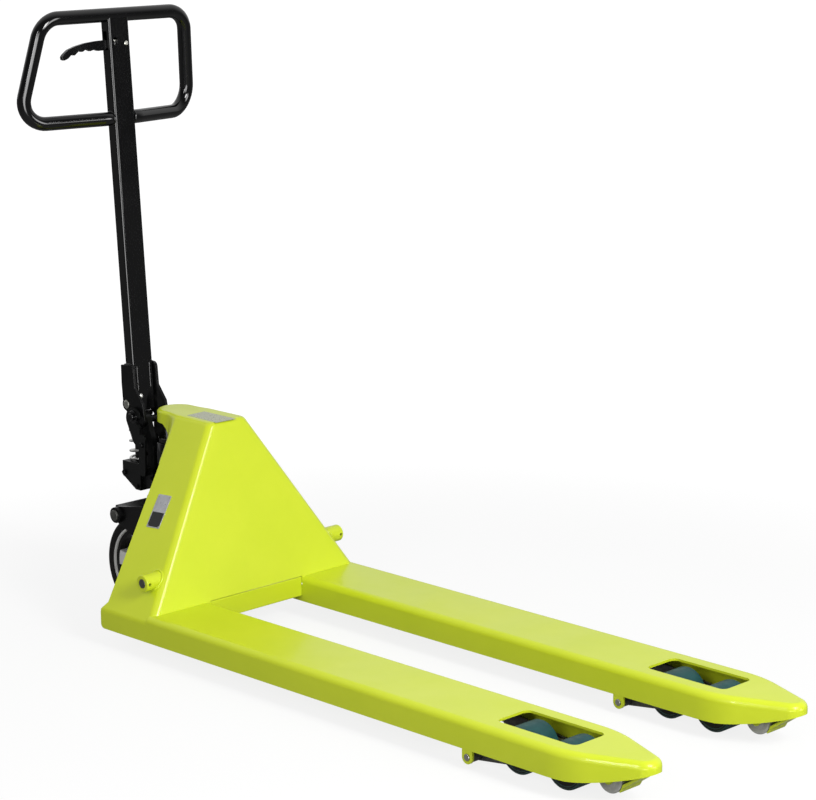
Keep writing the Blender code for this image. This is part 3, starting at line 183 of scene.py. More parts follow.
sky = add_node(tree, "Background", {"Color": (1, 1, 1, 1)}, {"Strength": level.outputs[0]})
add_node(tree, "OutputWorld", links={"Surface": sky.outputs[0]})
print("world", len(tree.nodes), "nodes")

# %% Lamps
def lamp(name, spot, target, size, power):
    """A rectangular soft box that faces a point on the truck."""
    bpy.ops.object.select_all(action="DESELECT")
    bpy.ops.object.light_add(type="AREA")
    made = bpy.context.object
    made.name = name
    made.data.shape = "RECTANGLE"
    made.data.size, made.data.size_y = size
    made.data.energy = power
    back = Vector(spot) - Vector(target)
    turn = back.to_track_quat("Z", "Y").to_matrix().to_4x4()
    made.matrix_world = Matrix.Translation(TRUCK @ Vector(spot)) @ turn
    return made


lamp("front_soft_box", (3.5, -0.3, 2.2), (0.3, 0, 0.3), (1.0, 1.3), 100)
lamp("side_strip", (1.2, -3.0, 1.6), (-0.2, 0, 0.6), (0.25, 1.8), 25)
print("lamps", [light.name for light in bpy.data.lights])

# %% The floor
bpy.ops.object.select_all(action="DESELECT")
bpy.ops.mesh.primitive_plane_add(size=PAPER_SIZE)
floor = bpy.context.object
floor.name = "floor"
paper = bpy.data.materials.new("white_studio_paper")
paper.use_nodes = True
tree = paper.node_tree
tree.nodes.clear()
rays = add_node(tree, "LightPath")
seen = add_node(tree, "Math", {"operation": "MAXIMUM"},
                {0: rays.outputs["Is Camera Ray"], 1: rays.outputs["Is Glossy Ray"]})
seen = add_node(tree, "Math", {"operation": "MAXIMUM"},
                {0: seen.outputs[0], 1: rays.outputs["Is Transmission Ray"]})
spot = add_node(tree, "TexCoord").outputs["Object"]
reach = add_node(tree, "VectorMath", {"operation": "LENGTH"}, {0: spot})
fade = add_node(
    tree, "MapRange",
    {"interpolation_type": "SMOOTHSTEP", "From Min": PAPER_FADE[0], "From Max": PAPER_FADE[1],
     "To Min": PAPER_NEAR, "To Max": 1.0},
    {"Value": reach.outputs["Value"]},
)
share = add_node(tree, "Math", {"operation": "MULTIPLY"}, {0: seen.outputs[0], 1: fade.outputs["Result"]})
tone = add_node(tree, "Mix", {"data_type": "RGBA", 6: linear(PAPER_BOUNCE), 7: linear(PAPER_SEEN)},
                {0: seen.outputs[0]})
matt = add_node(tree, "BsdfDiffuse", links={"Color": tone.outputs[2]})
heading = add_node(tree, "VectorMath", {"operation": "NORMALIZE"}, {0: spot})
mirror = glow(tree, heading.outputs[0], FRONT, FLOOR_EDGE, FLOOR_SHEEN, FLOOR_STRIP)
off = add_node(
    tree, "MapRange",
    {"interpolation_type": "SMOOTHSTEP", "From Min": GLOW_REACH[0], "From Max": GLOW_REACH[1]},
    {"Value": reach.outputs["Value"]},
)
mirror = add_node(tree, "Mix", {2: FLOOR_SHEEN}, {0: off.outputs["Result"], 3: mirror})
level = add_node(tree, "Mix", {2: PAPER_WHITE}, {0: rays.outputs["Is Glossy Ray"], 3: mirror.outputs[0]})
bright = add_node(tree, "Emission", {"Color": (1, 1, 1, 1)}, {"Strength": level.outputs[0]})
both = add_node(tree, "MixShader", links={0: share.outputs[0], 1: matt.outputs[0], 2: bright.outputs[0]})
add_node(tree, "OutputMaterial", links={"Surface": both.outputs[0]})
floor.data.materials.append(paper)
# The wheels stay on the floor when the forks are pumped up, so the floor goes with the wheels' carriage
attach(floor, "carriage")

# %% [markdown]
# ## One way to build a finish
# Every finish here is a Principled shader whose colour drifts between two close tones, whose gloss is a
# little uneven and whose surface has a fine relief, each at a size in millimetres taken from the real
# thing. Object coordinates keep the patterns fixed to the metal from every side. Dust near the floor is
# a third tone that fades out with height.

# %% The finish builder
DUST = "#8E8A80"


def surface(name, tones, patch_mm, rough, grain_mm, relief_mm, settings=(), dust=0.0, dust_z=0.10):
    """A material from two tones, a gloss range, a grain and its depth, with optional dust low down."""
    made = bpy.data.materials.new(name)
    made.use_nodes = True
    tree = made.node_tree
    shader = tree.nodes["Principled BSDF"]
    for key, value in dict(settings).items():
        shader.inputs[key].default_value = value
    place = add_node(tree, "TexCoord").outputs["Object"]
    patch = add_node(tree, "TexNoise", {"Scale": 1000 / patch_mm, "Detail": 6.0, "Roughness": 0.62},
                     {"Vector": place})
    drift = add_node(tree, "MapRange", {"From Min": 0.32, "From Max": 0.68}, {"Value": patch.outputs["Fac"]})
    colour = add_node(tree, "Mix", {"data_type": "RGBA", 6: linear(tones[0]), 7: linear(tones[1])},
                      {0: drift.outputs["Result"]})
    smear = add_node(tree, "TexNoise", {"Scale": 2300 / patch_mm, "Detail": 4.0}, {"Vector": place})
    gloss = add_node(tree, "MapRange",
                     {"From Min": 0.3, "From Max": 0.7, "To Min": rough[0], "To Max": rough[1]},
                     {"Value": smear.outputs["Fac"]})
    grain = add_node(tree, "TexNoise", {"Scale": 1000 / grain_mm, "Detail": 3.0}, {"Vector": place})
    relief = add_node(tree, "Bump", {"Strength": 1.0, "Distance": relief_mm / 1000},
                      {"Height": grain.outputs["Fac"]})
    tone = colour.outputs[2]
    if dust:
        height = add_node(tree, "SeparateXYZ", links={0: place}).outputs["Z"]
        fade = add_node(tree, "MapRange",
                        {"From Min": 0.0, "From Max": dust_z, "To Min": dust, "To Max": 0.0},
                        {"Value": height})
        specks = add_node(tree, "Math", {"operation": "MULTIPLY"},
                          {0: fade.outputs[0], 1: smear.outputs["Fac"]})
        dusty = add_node(tree, "Mix", {"data_type": "RGBA", 7: linear(DUST)}, {0: specks.outputs[0], 6: tone})
        tone = dusty.outputs[2]
    for key, source in (("Base Color", tone), ("Roughness", gloss.outputs[0]), ("Normal", relief.outputs[0])):
        tree.links.new(source, shader.inputs[key])
    return made


# %% [markdown]
# ## The finishes of this truck
# The sheet metal is powder coated: a thick, even lime film with a faint orange-peel relief. The tiller
# is black gloss enamel, and the castings wear the same black over a sandy skin. Pins are zinc plated,
# the ram is hard chrome, the wheel centres are die-cast aluminium. The rollers are cast polyurethane
# and turned nylon, and the tyres are moulded rubber.

# %% Paints
GLOSS_COAT = {"Coat Weight": 0.22, "Coat Roughness": 0.10}
# An even film with a soft sheen: tones a shade apart, so that large panels don't look flat
lime_coat = surface("lime_powder_coat", ("#CDDD24", "#D4E22C"), 210, (0.30, 0.40), 2.4, 0.010,
                    {"IOR": 1.50, "Specular IOR Level": 0.4, **GLOSS_COAT}, dust=0.06, dust_z=0.07)
# Deep black that shows lamps as crisp lines
black_gloss = surface("black_gloss_enamel", ("#050506", "#09090A"), 90, (0.06, 0.11), 2.8, 0.004,
                      {"IOR": 1.50, "Specular IOR Level": 0.5})
# The same black over cast iron: the sand's grain breaks the lamps into a soft glow
black_cast = surface("black_enamel_on_cast_iron", ("#090A0A", "#101111"), 45, (0.30, 0.46), 1.6, 0.10,
                     {"IOR": 1.45, "Specular IOR Level": 0.3}, dust=0.12, dust_z=0.14)
# Stamped plates sprayed black, a little duller than the tiller
black_plate = surface("black_paint_on_steel_plate", ("#09090A", "#101011"), 60, (0.26, 0.38), 1.2, 0.02,
                      {"IOR": 1.45, "Specular IOR Level": 0.25}, dust=0.2, dust_z=0.10)

# %% Metals
# Zinc plating: pale grey with a slight warm drift, and dull where hands and tools have been
zinc = surface("zinc_plated_steel", ("#A9A9A1", "#BFBFB8"), 12, (0.28, 0.46), 0.5, 0.006, {"Metallic": 1.0})
# Near-white zinc on the apron rivet, a painted highlight
painted_highlight_zinc = surface("painted_highlight_zinc_rivet", ("#E4E4E0", "#F0F0EE"), 6, (0.22, 0.32), 0.5, 0.004,
                      {"Metallic": 0.7})
# Anodised plate and silver film: pale, smooth and slightly uneven
plate_aluminium = surface("anodised_aluminium_plate", ("#B4B5BA", "#C9CACE"), 9, (0.26, 0.40), 0.4, 0.004,
                          {"Metallic": 0.7})
silver_film = surface("silver_label_film", ("#A3A88C", "#B2B69B"), 7, (0.24, 0.36), 0.8, 0.004,
                      {"Metallic": 0.2})
# Hard chrome on the ram: nearly a mirror
chrome = surface("hard_chrome", ("#D6D7D8", "#E2E2E3"), 30, (0.06, 0.12), 0.4, 0.001, {"Metallic": 1.0})
# Die-cast aluminium with the faint grain of the mould
cast_alloy = surface("die_cast_aluminium", ("#DCDCDA", "#EDEDEB"), 14, (0.26, 0.40), 0.9, 0.02,
                     {"Metallic": 0.25}, dust=0.15, dust_z=0.2)
# Bright drawn spring wire, and a near-black steel on the plunger, its bush and the valve arm
spring_steel = surface("bright_spring_wire", ("#B9B9B6", "#CFCFCC"), 8, (0.22, 0.36), 0.6, 0.008,
                       {"Metallic": 1.0})
near_black_steel = surface("near_black_steel_finish", ("#141414", "#1F1E1D"), 14, (0.30, 0.44), 0.6, 0.01,
                      {"Metallic": 0.6})
# Bare steel of a sawn shaft end, dull and grey
sawn_steel = surface("sawn_steel_end", ("#5B5B58", "#74746F"), 6, (0.38, 0.52), 0.5, 0.02, {"Metallic": 0.9})

# %% Rubber and plastics
# Solid tyre rubber: matt, with floor dust caught in its pores
tyre_rubber = surface("solid_tyre_rubber", ("#0C0C0C", "#151514"), 22, (0.55, 0.75), 0.7, 0.05,
                      {"IOR": 1.52, "Specular IOR Level": 0.2}, dust=0.08, dust_z=0.12)
# Cast polyurethane: a teal that lets a little light in
polyurethane = surface("cast_polyurethane", ("#163F41", "#1F4E4D"), 26, (0.42, 0.56), 0.9, 0.015,
                       {"IOR": 1.50, "Specular IOR Level": 0.25, "Subsurface Weight": 0.05,
                        "Subsurface Radius": (0.002, 0.003, 0.003)},
                       dust=0.35, dust_z=0.05)
# Turned nylon, off-white going grey with use
nylon = surface("turned_grey_nylon", ("#A8A8A6", "#BCBCB9"), 20, (0.36, 0.5), 0.8, 0.015, {"IOR": 1.53},
                dust=0.3, dust_z=0.04)
print(len(bpy.data.materials), "materials")

# %% [markdown]
# ## Modelling tools
# Four ways of working make nearly every piece: a line pulled from corner to corner, an outline filled
# and pulled out like a cut plate, a profile spun round its axle like a turned part, and a grid whose
# points are moved to rows of places, like a sheet pressed over a form. A small rounding of the sharp
# edges then catches the light.

# %% Line, plate, turned part and pressed sheet
# Faces that meet at less than this angle are shaded as one round surface
SMOOTH_TURNED, SMOOTH_EASED = math.radians(35), math.radians(40)


def wire(name, points):
    """A line of edges: a plane shrunk to a point and pulled from place to place. It stays in edit mode."""
    bpy.ops.object.select_all(action="DESELECT")
    bpy.ops.mesh.primitive_plane_add(size=0.01)
    piece = bpy.context.object
    piece.name = piece.data.name = name
    bpy.ops.object.mode_set(mode="EDIT")
    bpy.ops.mesh.merge(type="CENTER")
    bpy.ops.transform.translate(value=points[0])
    for here, there in zip(points, points[1:]):
        step = Vector(there) - Vector(here)
        bpy.ops.mesh.extrude_vertices_move(TRANSFORM_OT_translate={"value": step})
    bpy.ops.mesh.select_all(action="SELECT")
    return piece


def slab(name, outline, low, high, axis):
    """An outline drawn across an axis, filled and pulled out along it."""
    pad = "XYZ".index(axis)

    def spot(pair, along):
        return [*pair[:pad], along, *pair[pad:]]

    piece = wire(name, [spot(pair, low) for pair in outline])
    bpy.ops.mesh.edge_face_add()
    bpy.ops.mesh.extrude_region_move(TRANSFORM_OT_translate={"value": spot((0.0, 0.0), high - low)})
    bpy.ops.mesh.select_all(action="SELECT")
    bpy.ops.mesh.normals_make_consistent(inside=False)
    bpy.ops.object.mode_set(mode="OBJECT")
    return piece


def spun(name, profile, centre, axis, steps=64):
    """A profile of (radius, place on the axis) spun right round; one that ends where it began has a bore."""
    spots = {"X": [(h, r, 0) for r, h in profile], "Y": [(r, h, 0) for r, h in profile],
             "Z": [(r, 0, h) for r, h in profile]}[axis]
    piece = wire(name, [Vector(centre) + Vector(s) for s in spots])
    bpy.ops.mesh.spin(steps=steps, angle=2 * math.pi, center=centre, axis=[float(axis == a) for a in "XYZ"])
    bpy.ops.mesh.select_all(action="SELECT")
    bpy.ops.mesh.remove_doubles(threshold=0.000002)
    bpy.ops.mesh.normals_make_consistent(inside=False)
    bpy.ops.object.mode_set(mode="OBJECT")
    bpy.ops.object.shade_smooth_by_angle(angle=SMOOTH_TURNED)
    return piece


def pressed(name, rows):
    """A grid whose points are moved to rows of places: one skin through all of them."""
    bpy.ops.object.select_all(action="DESELECT")
    bpy.ops.mesh.primitive_grid_add(x_subdivisions=len(rows[0]) - 1, y_subdivisions=len(rows) - 1)
    piece = bpy.context.object
    piece.name = piece.data.name = name
    for point, place in zip(piece.data.vertices, [p for row in rows for p in row], strict=True):
        point.co = place
    return piece


# %% [markdown]
# ## Cutting, rounding and fitting
# Booleans cut the windows and slots. A bevel rounds what is sharp, and weighted normals keep flat faces
# looking flat. A finished piece is carried to its place, painted, tied to its body, and stands in for
# the plain solid there.

# %% Cut, round and fit
def chosen(piece):
    """Makes a piece the only selected and active object."""
    bpy.ops.object.select_all(action="DESELECT")
    piece.select_set(True)
    bpy.context.view_layer.objects.active = piece
    return piece


def worked(piece, kind, **settings):
    """Adds a modifier with its settings and applies it."""
    change = chosen(piece).modifiers.new(kind.lower(), kind)
    for key, value in settings.items():
        setattr(change, key, value)
    bpy.ops.object.modifier_apply(modifier=change.name)
    return piece


def combined(piece, operation, *tools):
    """Joins tools to a piece, or cuts them out of it, and clears them away."""
    for tool in tools:
        worked(piece, "BOOLEAN", operation=operation, solver="EXACT", object=tool)
        bpy.data.objects.remove(tool)
    return piece


def eased(piece, width=0.0006, segments=2, angle=32.0):
    """Rounds the sharp edges and lets the flat faces lead the shading."""
    if width:
        worked(piece, "BEVEL", width=width, segments=segments, limit_method="ANGLE",
               angle_limit=math.radians(angle), use_clamp_overlap=True)
    chosen(piece)
    bpy.ops.object.shade_smooth_by_angle(angle=SMOOTH_EASED)
    return worked(piece, "WEIGHTED_NORMAL", keep_sharp=True)


def fitted(piece, name, body, finish, *nodes, place=TRUCK):
    """Names a piece, carries it to its place, paints it, ties it to its body and lets it stand for nodes."""
    piece.name = piece.data.name = name
    piece.data.transform(place)
    piece.data.materials.clear()
    piece.data.materials.append(finish)
    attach(piece, body)
    if nodes:
        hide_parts(*nodes)
    return piece


def arc(centre, radius, start, end, steps):
    """Points on a circle from one angle to another, in degrees."""
    turns = [math.radians(start + (end - start) * i / steps) for i in range(steps + 1)]
    return [(centre[0] + radius * math.cos(t), centre[1] + radius * math.sin(t)) for t in turns]


def handed(profile, side):
    """A profile for the truck's left side, or turned about for its right."""
    return [(r, side * y) for r, y in profile]


def both_ends(profile):
    """A profile with its mirror image before it."""
    return [(r, -y) for r, y in profile[::-1]] + profile


# %% [markdown]
# ## The forks
# Each fork is a channel bent from one sheet: a flat top, soft bent edges, a taper and a round tip whose
# underside rises. A window over the rollers is cut in the top. Here the plan is pulled up into a block,
# its upper rim gets a real bend radius, and a smaller block made in the same way is cut out of it,
# which leaves an even wall.

# %% Fork plan and block
FORK_Y, FORK_HALF, FORK_TOP, WEB_LOW, SHEET = 0.1895, 0.073, 0.085, 0.035, 0.0045
TIP_X, TAPER_X, TIP_RADIUS, FORK_REAR, EDGE_BEND = 1.150, 1.0165, 0.028, -0.147, 0.013
RISE, RISE_BOW, RISE_STEPS, TAPER_BEND = 0.0752, 1.08, 16, 0.20
WINDOW_X, WINDOW_HALF, WINDOW_BEND = (0.839, 1.0115), 0.0385, 0.012
# Where the top plate, the outer rim and the inner web end at the rear, and the rim's width
TOP_REAR, RIM_REAR, INNER_REAR, RIM_STRIP = 0.0006, -0.012, -0.060, 0.027


def fork_plan(inset, rear_x, middle):
    """Straight sides, a taper and a round tip, drawn in by an inset."""
    tip_x = TIP_X - TIP_RADIUS
    reach = Vector((tip_x - TAPER_X, -FORK_HALF))
    slope = math.atan2(reach.y, reach.x) + math.asin(TIP_RADIUS / reach.length)
    side, end = FORK_HALF - inset, 90 + math.degrees(slope)
    corner = (TAPER_X + TAPER_BEND * math.tan(slope / 2), FORK_HALF - TAPER_BEND)
    left = [*arc((tip_x, 0), TIP_RADIUS - inset, 0, end, 16), *arc(corner, TAPER_BEND - inset, end, 90, 10)]
    left.append((rear_x, side))
    return [(x, middle - y) for x, y in left[:0:-1]] + [(x, middle + y) for x, y in left]


def fork_block(inset, rear_x, low, high, bend, middle):
    """The plan as a block whose upper rim, all but its rear end, is bent round."""
    block = slab("fork_block", fork_plan(inset, rear_x, middle), low, high, "Z")
    bpy.ops.object.mode_set(mode="EDIT")
    bpy.ops.mesh.select_mode(type="EDGE")
    bpy.ops.mesh.select_all(action="DESELECT")
    mesh = bmesh.from_edit_mesh(block.data)
    for edge in mesh.edges:
        spots = [v.co for v in edge.verts]
        edge.select_set(min(s.z for s in spots) > high - 0.0001 and max(s.x for s in spots) > rear_x + 0.0001)
    bmesh.update_edit_mesh(block.data)
    bpy.ops.mesh.bevel(offset=bend, segments=8, affect="EDGES", clamp_overlap=False)
    bpy.ops.mesh.select_mode(type="VERT")
    bpy.ops.object.mode_set(mode="OBJECT")
    return block


def box_outline(low, high, bend=0.0, steps=6):
    """A rectangle between two corners, with round corners where a bend is given."""
    (a0, b0), (a1, b1) = low, high
    if not bend:
        return [(a0, b0), (a1, b0), (a1, b1), (a0, b1)]
    spots = ((a1 - bend, b0 + bend, -90), (a1 - bend, b1 - bend, 0),
             (a0 + bend, b1 - bend, 90), (a0 + bend, b0 + bend, 180))
    return [p for a, b, start in spots for p in arc((a, b), bend, start, start + 90, steps)]


# %% [markdown]
# ## Lugs and ramps of a fork
# Two tabs welded inside the webs hang down to hold the bracket's pin. Near the tip a second pair holds
# the entry roller, and a sloped shelf leads a pallet's edge board onto it. They are plates too, and are
# welded on with a union.

# %% Both forks
LUG_X, LUG_Z, LUG_RADIUS, LUG_PLATE = 0.807, 0.022, 0.0115, 0.005
ENTRY_X, ENTRY_Z, ENTRY_HALF, RAMP_PLATE, HANGER = 1.072, 0.043, 0.025, 0.004, 0.009
RAMP = [(1.141, 0.0670), (1.141, 0.0630), *arc((ENTRY_X, ENTRY_Z), 0.0284, -22, -42, 6)]
RAMP += arc((ENTRY_X, ENTRY_Z), 0.0264, -42, -10, 6)
RAMP_HALF, FIT, FOLD_LOW, HEEL_BEND = 0.024, 0.0003, 0.0667, 0.009
LUG_ROOT, HANGER_ROOT, LUG_HOLE = 0.049, 0.014, 0.0064
# How far the cutting blocks reach past a fork
PAST, WIDE_PAST, ABOVE = 0.05, 0.1, 0.2


def lug_outline():
    """A tab with a round lower end and a straight root inside the web."""
    round_end = arc((LUG_X, LUG_Z), LUG_RADIUS, 180, 360, 20)
    return [(LUG_X - LUG_RADIUS, LUG_ROOT), *round_end, (LUG_X + LUG_RADIUS, LUG_ROOT)]


def hanger_outline():
    """A tab with a round lower end that holds the entry roller's pin."""
    root = FORK_TOP - SHEET + 0.002
    round_end = arc((ENTRY_X, ENTRY_Z), HANGER, 195, 345, 14)
    return [(ENTRY_X - HANGER_ROOT, root), *round_end, (ENTRY_X + HANGER_ROOT, root)]


for word, side in SIDES:
    middle = side * FORK_Y
    fork = fork_block(0.0, FORK_REAR, WEB_LOW, FORK_TOP, EDGE_BEND, middle)
    hollow = fork_block(SHEET, FORK_REAR - PAST, 0.0, FORK_TOP - SHEET, EDGE_BEND - SHEET, middle)
    runs = [(TIP_X + 0.01 - TAPER_X) * (1 - i / RISE_STEPS) for i in range(RISE_STEPS + 1)]
    nose_rise = [(TAPER_X, -0.01), (TIP_X + 0.01, -0.01)]
    nose_rise += [(TAPER_X + run, WEB_LOW + RISE * run + RISE_BOW * run ** 2) for run in runs]
    window_low, window_high = zip(WINDOW_X, (middle - WINDOW_HALF, middle + WINDOW_HALF))
    window = box_outline(window_low, window_high, WINDOW_BEND)
    inner_y = middle - side * FORK_HALF
    strip_y = middle + side * (FORK_HALF - RIM_STRIP)
    behind, across = FORK_REAR - PAST, (middle - WIDE_PAST, middle + WIDE_PAST)
    heel = arc((FORK_REAR + HEEL_BEND, WEB_LOW + HEEL_BEND), HEEL_BEND, 270, 180, 8)
    heel += [(FORK_REAR - 0.01, WEB_LOW + HEEL_BEND), (FORK_REAR - 0.01, 0.0), (FORK_REAR + HEEL_BEND, 0.0)]
    combined(
        fork, "DIFFERENCE", hollow,
        slab("rise_cut", nose_rise, *across, "Y"),
        slab("heel_cut", heel, *across, "Y"),
        slab("window_cut", window, 0.07, 0.1, "Z"),
        slab("hood_cut", box_outline((behind, FOLD_LOW + FIT), (TOP_REAR, ABOVE)),
             *sorted((inner_y - side * 0.02, strip_y)), "Y"),
        slab("rim_cut", box_outline((behind, FOLD_LOW + FIT), (RIM_REAR, ABOVE)),
             *sorted((strip_y - side * 0.001, strip_y + side * 0.06)), "Y"),
        slab("web_cut", box_outline((behind, 0.0), (INNER_REAR, ABOVE)), inner_y - 0.02, inner_y + 0.02, "Y"),
    )
    for out in (-1, 1):
        face = middle + out * (FORK_HALF - FIT)
        combined(fork, "UNION", slab("lug", lug_outline(), *sorted((face, face - out * LUG_PLATE)), "Y"))
        near = middle + out * (ENTRY_HALF + 0.0008)
        ends = sorted((near, near + out * RAMP_PLATE))
        combined(fork, "UNION", slab("hanger", hanger_outline(), *ends, "Y"))
    shelf = slab("ramp", RAMP, middle - RAMP_HALF, middle + RAMP_HALF, "Y")
    combined(shelf, "INTERSECT", slab("inside", fork_plan(SHEET / 2, FORK_REAR, middle), 0.0, FORK_TOP, "Z"))
    combined(fork, "UNION", shelf)
    drill = [(0, -0.1), (LUG_HOLE, -0.1), (LUG_HOLE, 0.1), (0, 0.1)]
    combined(fork, "DIFFERENCE", spun("pin_hole", drill, (LUG_X, middle, LUG_Z), "Y", 32))
    fitted(eased(fork, 0.0005, 2), "fork_channel_" + word, "chassis", lime_coat, "fork_" + word)
    print(fork.name, len(fork.data.polygons), "faces")

# %% [markdown]
# ## The hood
# Front and sides are folded from one sheet with large bends, and the top flows into them over a round
# edge, welded and ground until no seam shows. So the skin is pressed in one go: rows of places climb
# the panels, roll over the top edge, and a wide face closes the top. At the rear the top runs out into
# a round nose over the ram.

# %% Hood skin
HOOD_SEAT, HOOD_TOP = 0.3983, 0.4048
HALF_BASE, SIDE_SLOPE, FRONT_SLOPE, HOOD_BEND, HOOD_FOLD = 0.2625, 0.6546, 0.2303, 0.014, 0.0725
FOLD_HIGH, FOLD_RADIUS, FOLD_STEPS = 0.0777, 0.020, 6
NOSE_X, NOSE_RADIUS, NOSE_EDGE, FLARE = -0.223, 0.040, 0.0065, 3.4
NOSE_LOW, SKIRT_LOW, SKIRT_BOW = 0.380, 0.320, 1.2
ROLL_STEPS, BEND_STEPS, NOSE_STEPS, FLANK_STEPS, SKIRT_STEPS = 8, 10, 28, 20, 6
# A side panel's rear edge: its place at the foot, and its lean above and below that as run and rise
PANEL_REAR, PANEL_FOOT, PANEL_LEAN, FOOT_LEAN = -0.1345, 0.086, (0.0355, 0.312), (0.012, 0.0135)
PANEL_MIDDLE = 0.24


def rolled_in(height, slope):
    """How far a panel of this slope has turned in over the top edge at a height above the seat."""
    depth, lean = HOOD_TOP - HOOD_SEAT, math.atan(slope)
    radius = depth / (1 - math.sin(lean))
    drop = depth - height - radius
    return radius * math.cos(lean) - math.sqrt(max(radius ** 2 - drop ** 2, 0.0))


def panel_places(z):
    """Side, front and side of the hood at one height: its half width, its front and the bend between them."""
    low = min(z, HOOD_SEAT)
    over = max(z - HOOD_SEAT, 0.0)
    half = HALF_BASE - SIDE_SLOPE * max(low - HOOD_FOLD, 0.0) - rolled_in(over, SIDE_SLOPE)
    if low < FOLD_HIGH:
        half = HALF_BASE - FOLD_RADIUS + math.sqrt(max(FOLD_RADIUS ** 2 - (low - FOLD_LOW) ** 2, 0.0))
    front = -FRONT_SLOPE * (low - FORK_TOP) - rolled_in(over, FRONT_SLOPE)
    return half, front, HOOD_BEND - 0.5 * rolled_in(over, FRONT_SLOPE)


def rear_edge(z):
    """Where the side panel ends behind, which leans forward towards the floor."""
    if z > PANEL_FOOT:
        return PANEL_REAR - (z - PANEL_FOOT) * PANEL_LEAN[0] / PANEL_LEAN[1]
    return max(PANEL_REAR - (PANEL_FOOT - z) * FOOT_LEAN[0] / FOOT_LEAN[1], FORK_REAR + 0.0005)


def panel_row(z):
    """One row of places from the right rear edge, round the front, to the left rear edge."""
    half, front, bend = panel_places(z)
    rear = rear_edge(min(z, HOOD_SEAT))
    row = [(rear, -half), *arc((front - bend, bend - half), bend, -90, 0, BEND_STEPS)]
    row += [*arc((front - bend, half - bend), bend, 0, 90, BEND_STEPS), (rear, half)]
    return [(x, y, z) for x, y in row]


def roll_turn(z):
    """How far over the top edge a height is, as an angle."""
    return math.asin(min(max((z - HOOD_SEAT) / (HOOD_TOP - HOOD_SEAT), 0.0), 1.0))


def flank(z, share, side):
    """A place between the nose and the rear edge of a side panel, at a share of the way."""
    half = panel_places(z)[0]
    slim = NOSE_RADIUS - NOSE_EDGE * (1 - math.cos(roll_turn(z)))
    rear = rear_edge(min(z, HOOD_SEAT))
    reach = slim + (half - slim) * share ** FLARE * (1 + FLARE - FLARE * share)
    return (NOSE_X + (rear - NOSE_X) * share, side * reach, z)


def nose_row(z_of):
    """Places from the left panel round the nose to the right; the height follows the share of the way."""
    shares = [1 - i / FLANK_STEPS for i in range(FLANK_STEPS + 1)]
    row = [flank(z_of(s), s, 1) for s in shares]
    z = z_of(0.0)
    slim = abs(flank(z, 0.0, 1)[1])
    row += [(x, y, z) for x, y in arc((NOSE_X, 0), slim, 90, 270, NOSE_STEPS)][1:-1]
    return row + [flank(z_of(s), s, -1) for s in shares[::-1]]


def skirt_low(share):
    """The skirt's lower edge: shallow round the nose, deep at the side panels."""
    return NOSE_LOW - (NOSE_LOW - SKIRT_LOW) * share ** SKIRT_BOW


def skirt_row(share):
    """A row of the nose's skirt, at a share of the way from its lower edge up to the seat."""
    return nose_row(lambda s: skirt_low(s) + (HOOD_SEAT - skirt_low(s)) * share)


turns = [math.pi / 2 * i / ROLL_STEPS for i in range(ROLL_STEPS + 1)]
roll = [HOOD_SEAT + (HOOD_TOP - HOOD_SEAT) * math.sin(turn) for turn in turns]
fold = [FOLD_LOW + (FOLD_HIGH - FOLD_LOW) * i / FOLD_STEPS for i in range(FOLD_STEPS + 1)]
climb = [SKIRT_LOW + (HOOD_SEAT - SKIRT_LOW) * i / SKIRT_STEPS for i in range(SKIRT_STEPS + 1)]
panels = pressed("hood_panels", [panel_row(z) for z in (*fold, PANEL_FOOT, PANEL_MIDDLE, *climb)])
cap = pressed("hood_cap", [panel_row(z) + nose_row(lambda s, z=z: z)[1:] for z in roll])
skirt = pressed("nose_skirt", [skirt_row(i / SKIRT_STEPS) for i in range(SKIRT_STEPS + 1)])
print("hood sheets", [len(sheet.data.polygons) for sheet in (panels, cap, skirt)])

# %% [markdown]
# ## Closing the hood
# The three sheets meet point for point, so they are joined and merged, and one wide face closes the
# flat top. Solidify then gives the sheet its wall inward. The lower edge is stepped over the forks and
# the crossbar, and a hole on each side lets the torsion shaft's boss through.

# %% Hood wall and cuts
BOSS_X, BOSS_Z, BOSS_RADIUS = -0.038, 0.140, 0.0162
BAR_HALF, FOOT_HALF = 0.1165, 0.2355


def joined(piece, *others):
    """Makes one mesh of several."""
    chosen(piece)
    for other in others:
        other.select_set(True)
    bpy.ops.object.join()
    return piece


hood = joined(panels, cap, skirt)
bpy.ops.object.mode_set(mode="EDIT")
bpy.ops.mesh.select_all(action="SELECT")
bpy.ops.mesh.remove_doubles(threshold=0.00002)
mesh = bmesh.from_edit_mesh(hood.data)
for edge in mesh.edges:
    edge.select_set(edge.is_boundary and min(v.co.z for v in edge.verts) > HOOD_TOP - 0.00001)
bmesh.update_edit_mesh(hood.data)
bpy.ops.mesh.edge_face_add()
bpy.ops.mesh.select_all(action="SELECT")
bpy.ops.mesh.normals_make_consistent(inside=False)
bpy.ops.object.mode_set(mode="OBJECT")
top = max(hood.data.polygons, key=lambda face: face.area if face.center.z > HOOD_TOP - 0.0001 else 0.0)
print("top face", len(top.vertices), "corners, facing", [round(n, 2) for n in top.normal])
worked(hood, "SOLIDIFY", thickness=SHEET, offset=-1.0, use_even_offset=True)
holes = [spun("boss_hole", [(0, y0), (BOSS_RADIUS + FIT, y0), (BOSS_RADIUS + FIT, y0 + 0.1), (0, y0 + 0.1)],
              (BOSS_X, 0, BOSS_Z), "Y") for y0 in (0.18, -0.28)]
combined(
    hood, "DIFFERENCE", *holes,
    slab("foot_step", box_outline((-0.1, 0.0), (0.1, HOOD_FOLD - 0.0006)), -FOOT_HALF, FOOT_HALF, "Y"),
    slab("fork_step", box_outline((FIT, 0.0), (0.1, FORK_TOP + FIT)), -0.3, 0.3, "Y"),
    slab("bar_step", box_outline((-0.006 - FIT, 0.0), (0.1, FORK_TOP + 0.0012)), -BAR_HALF, BAR_HALF, "Y"),
)
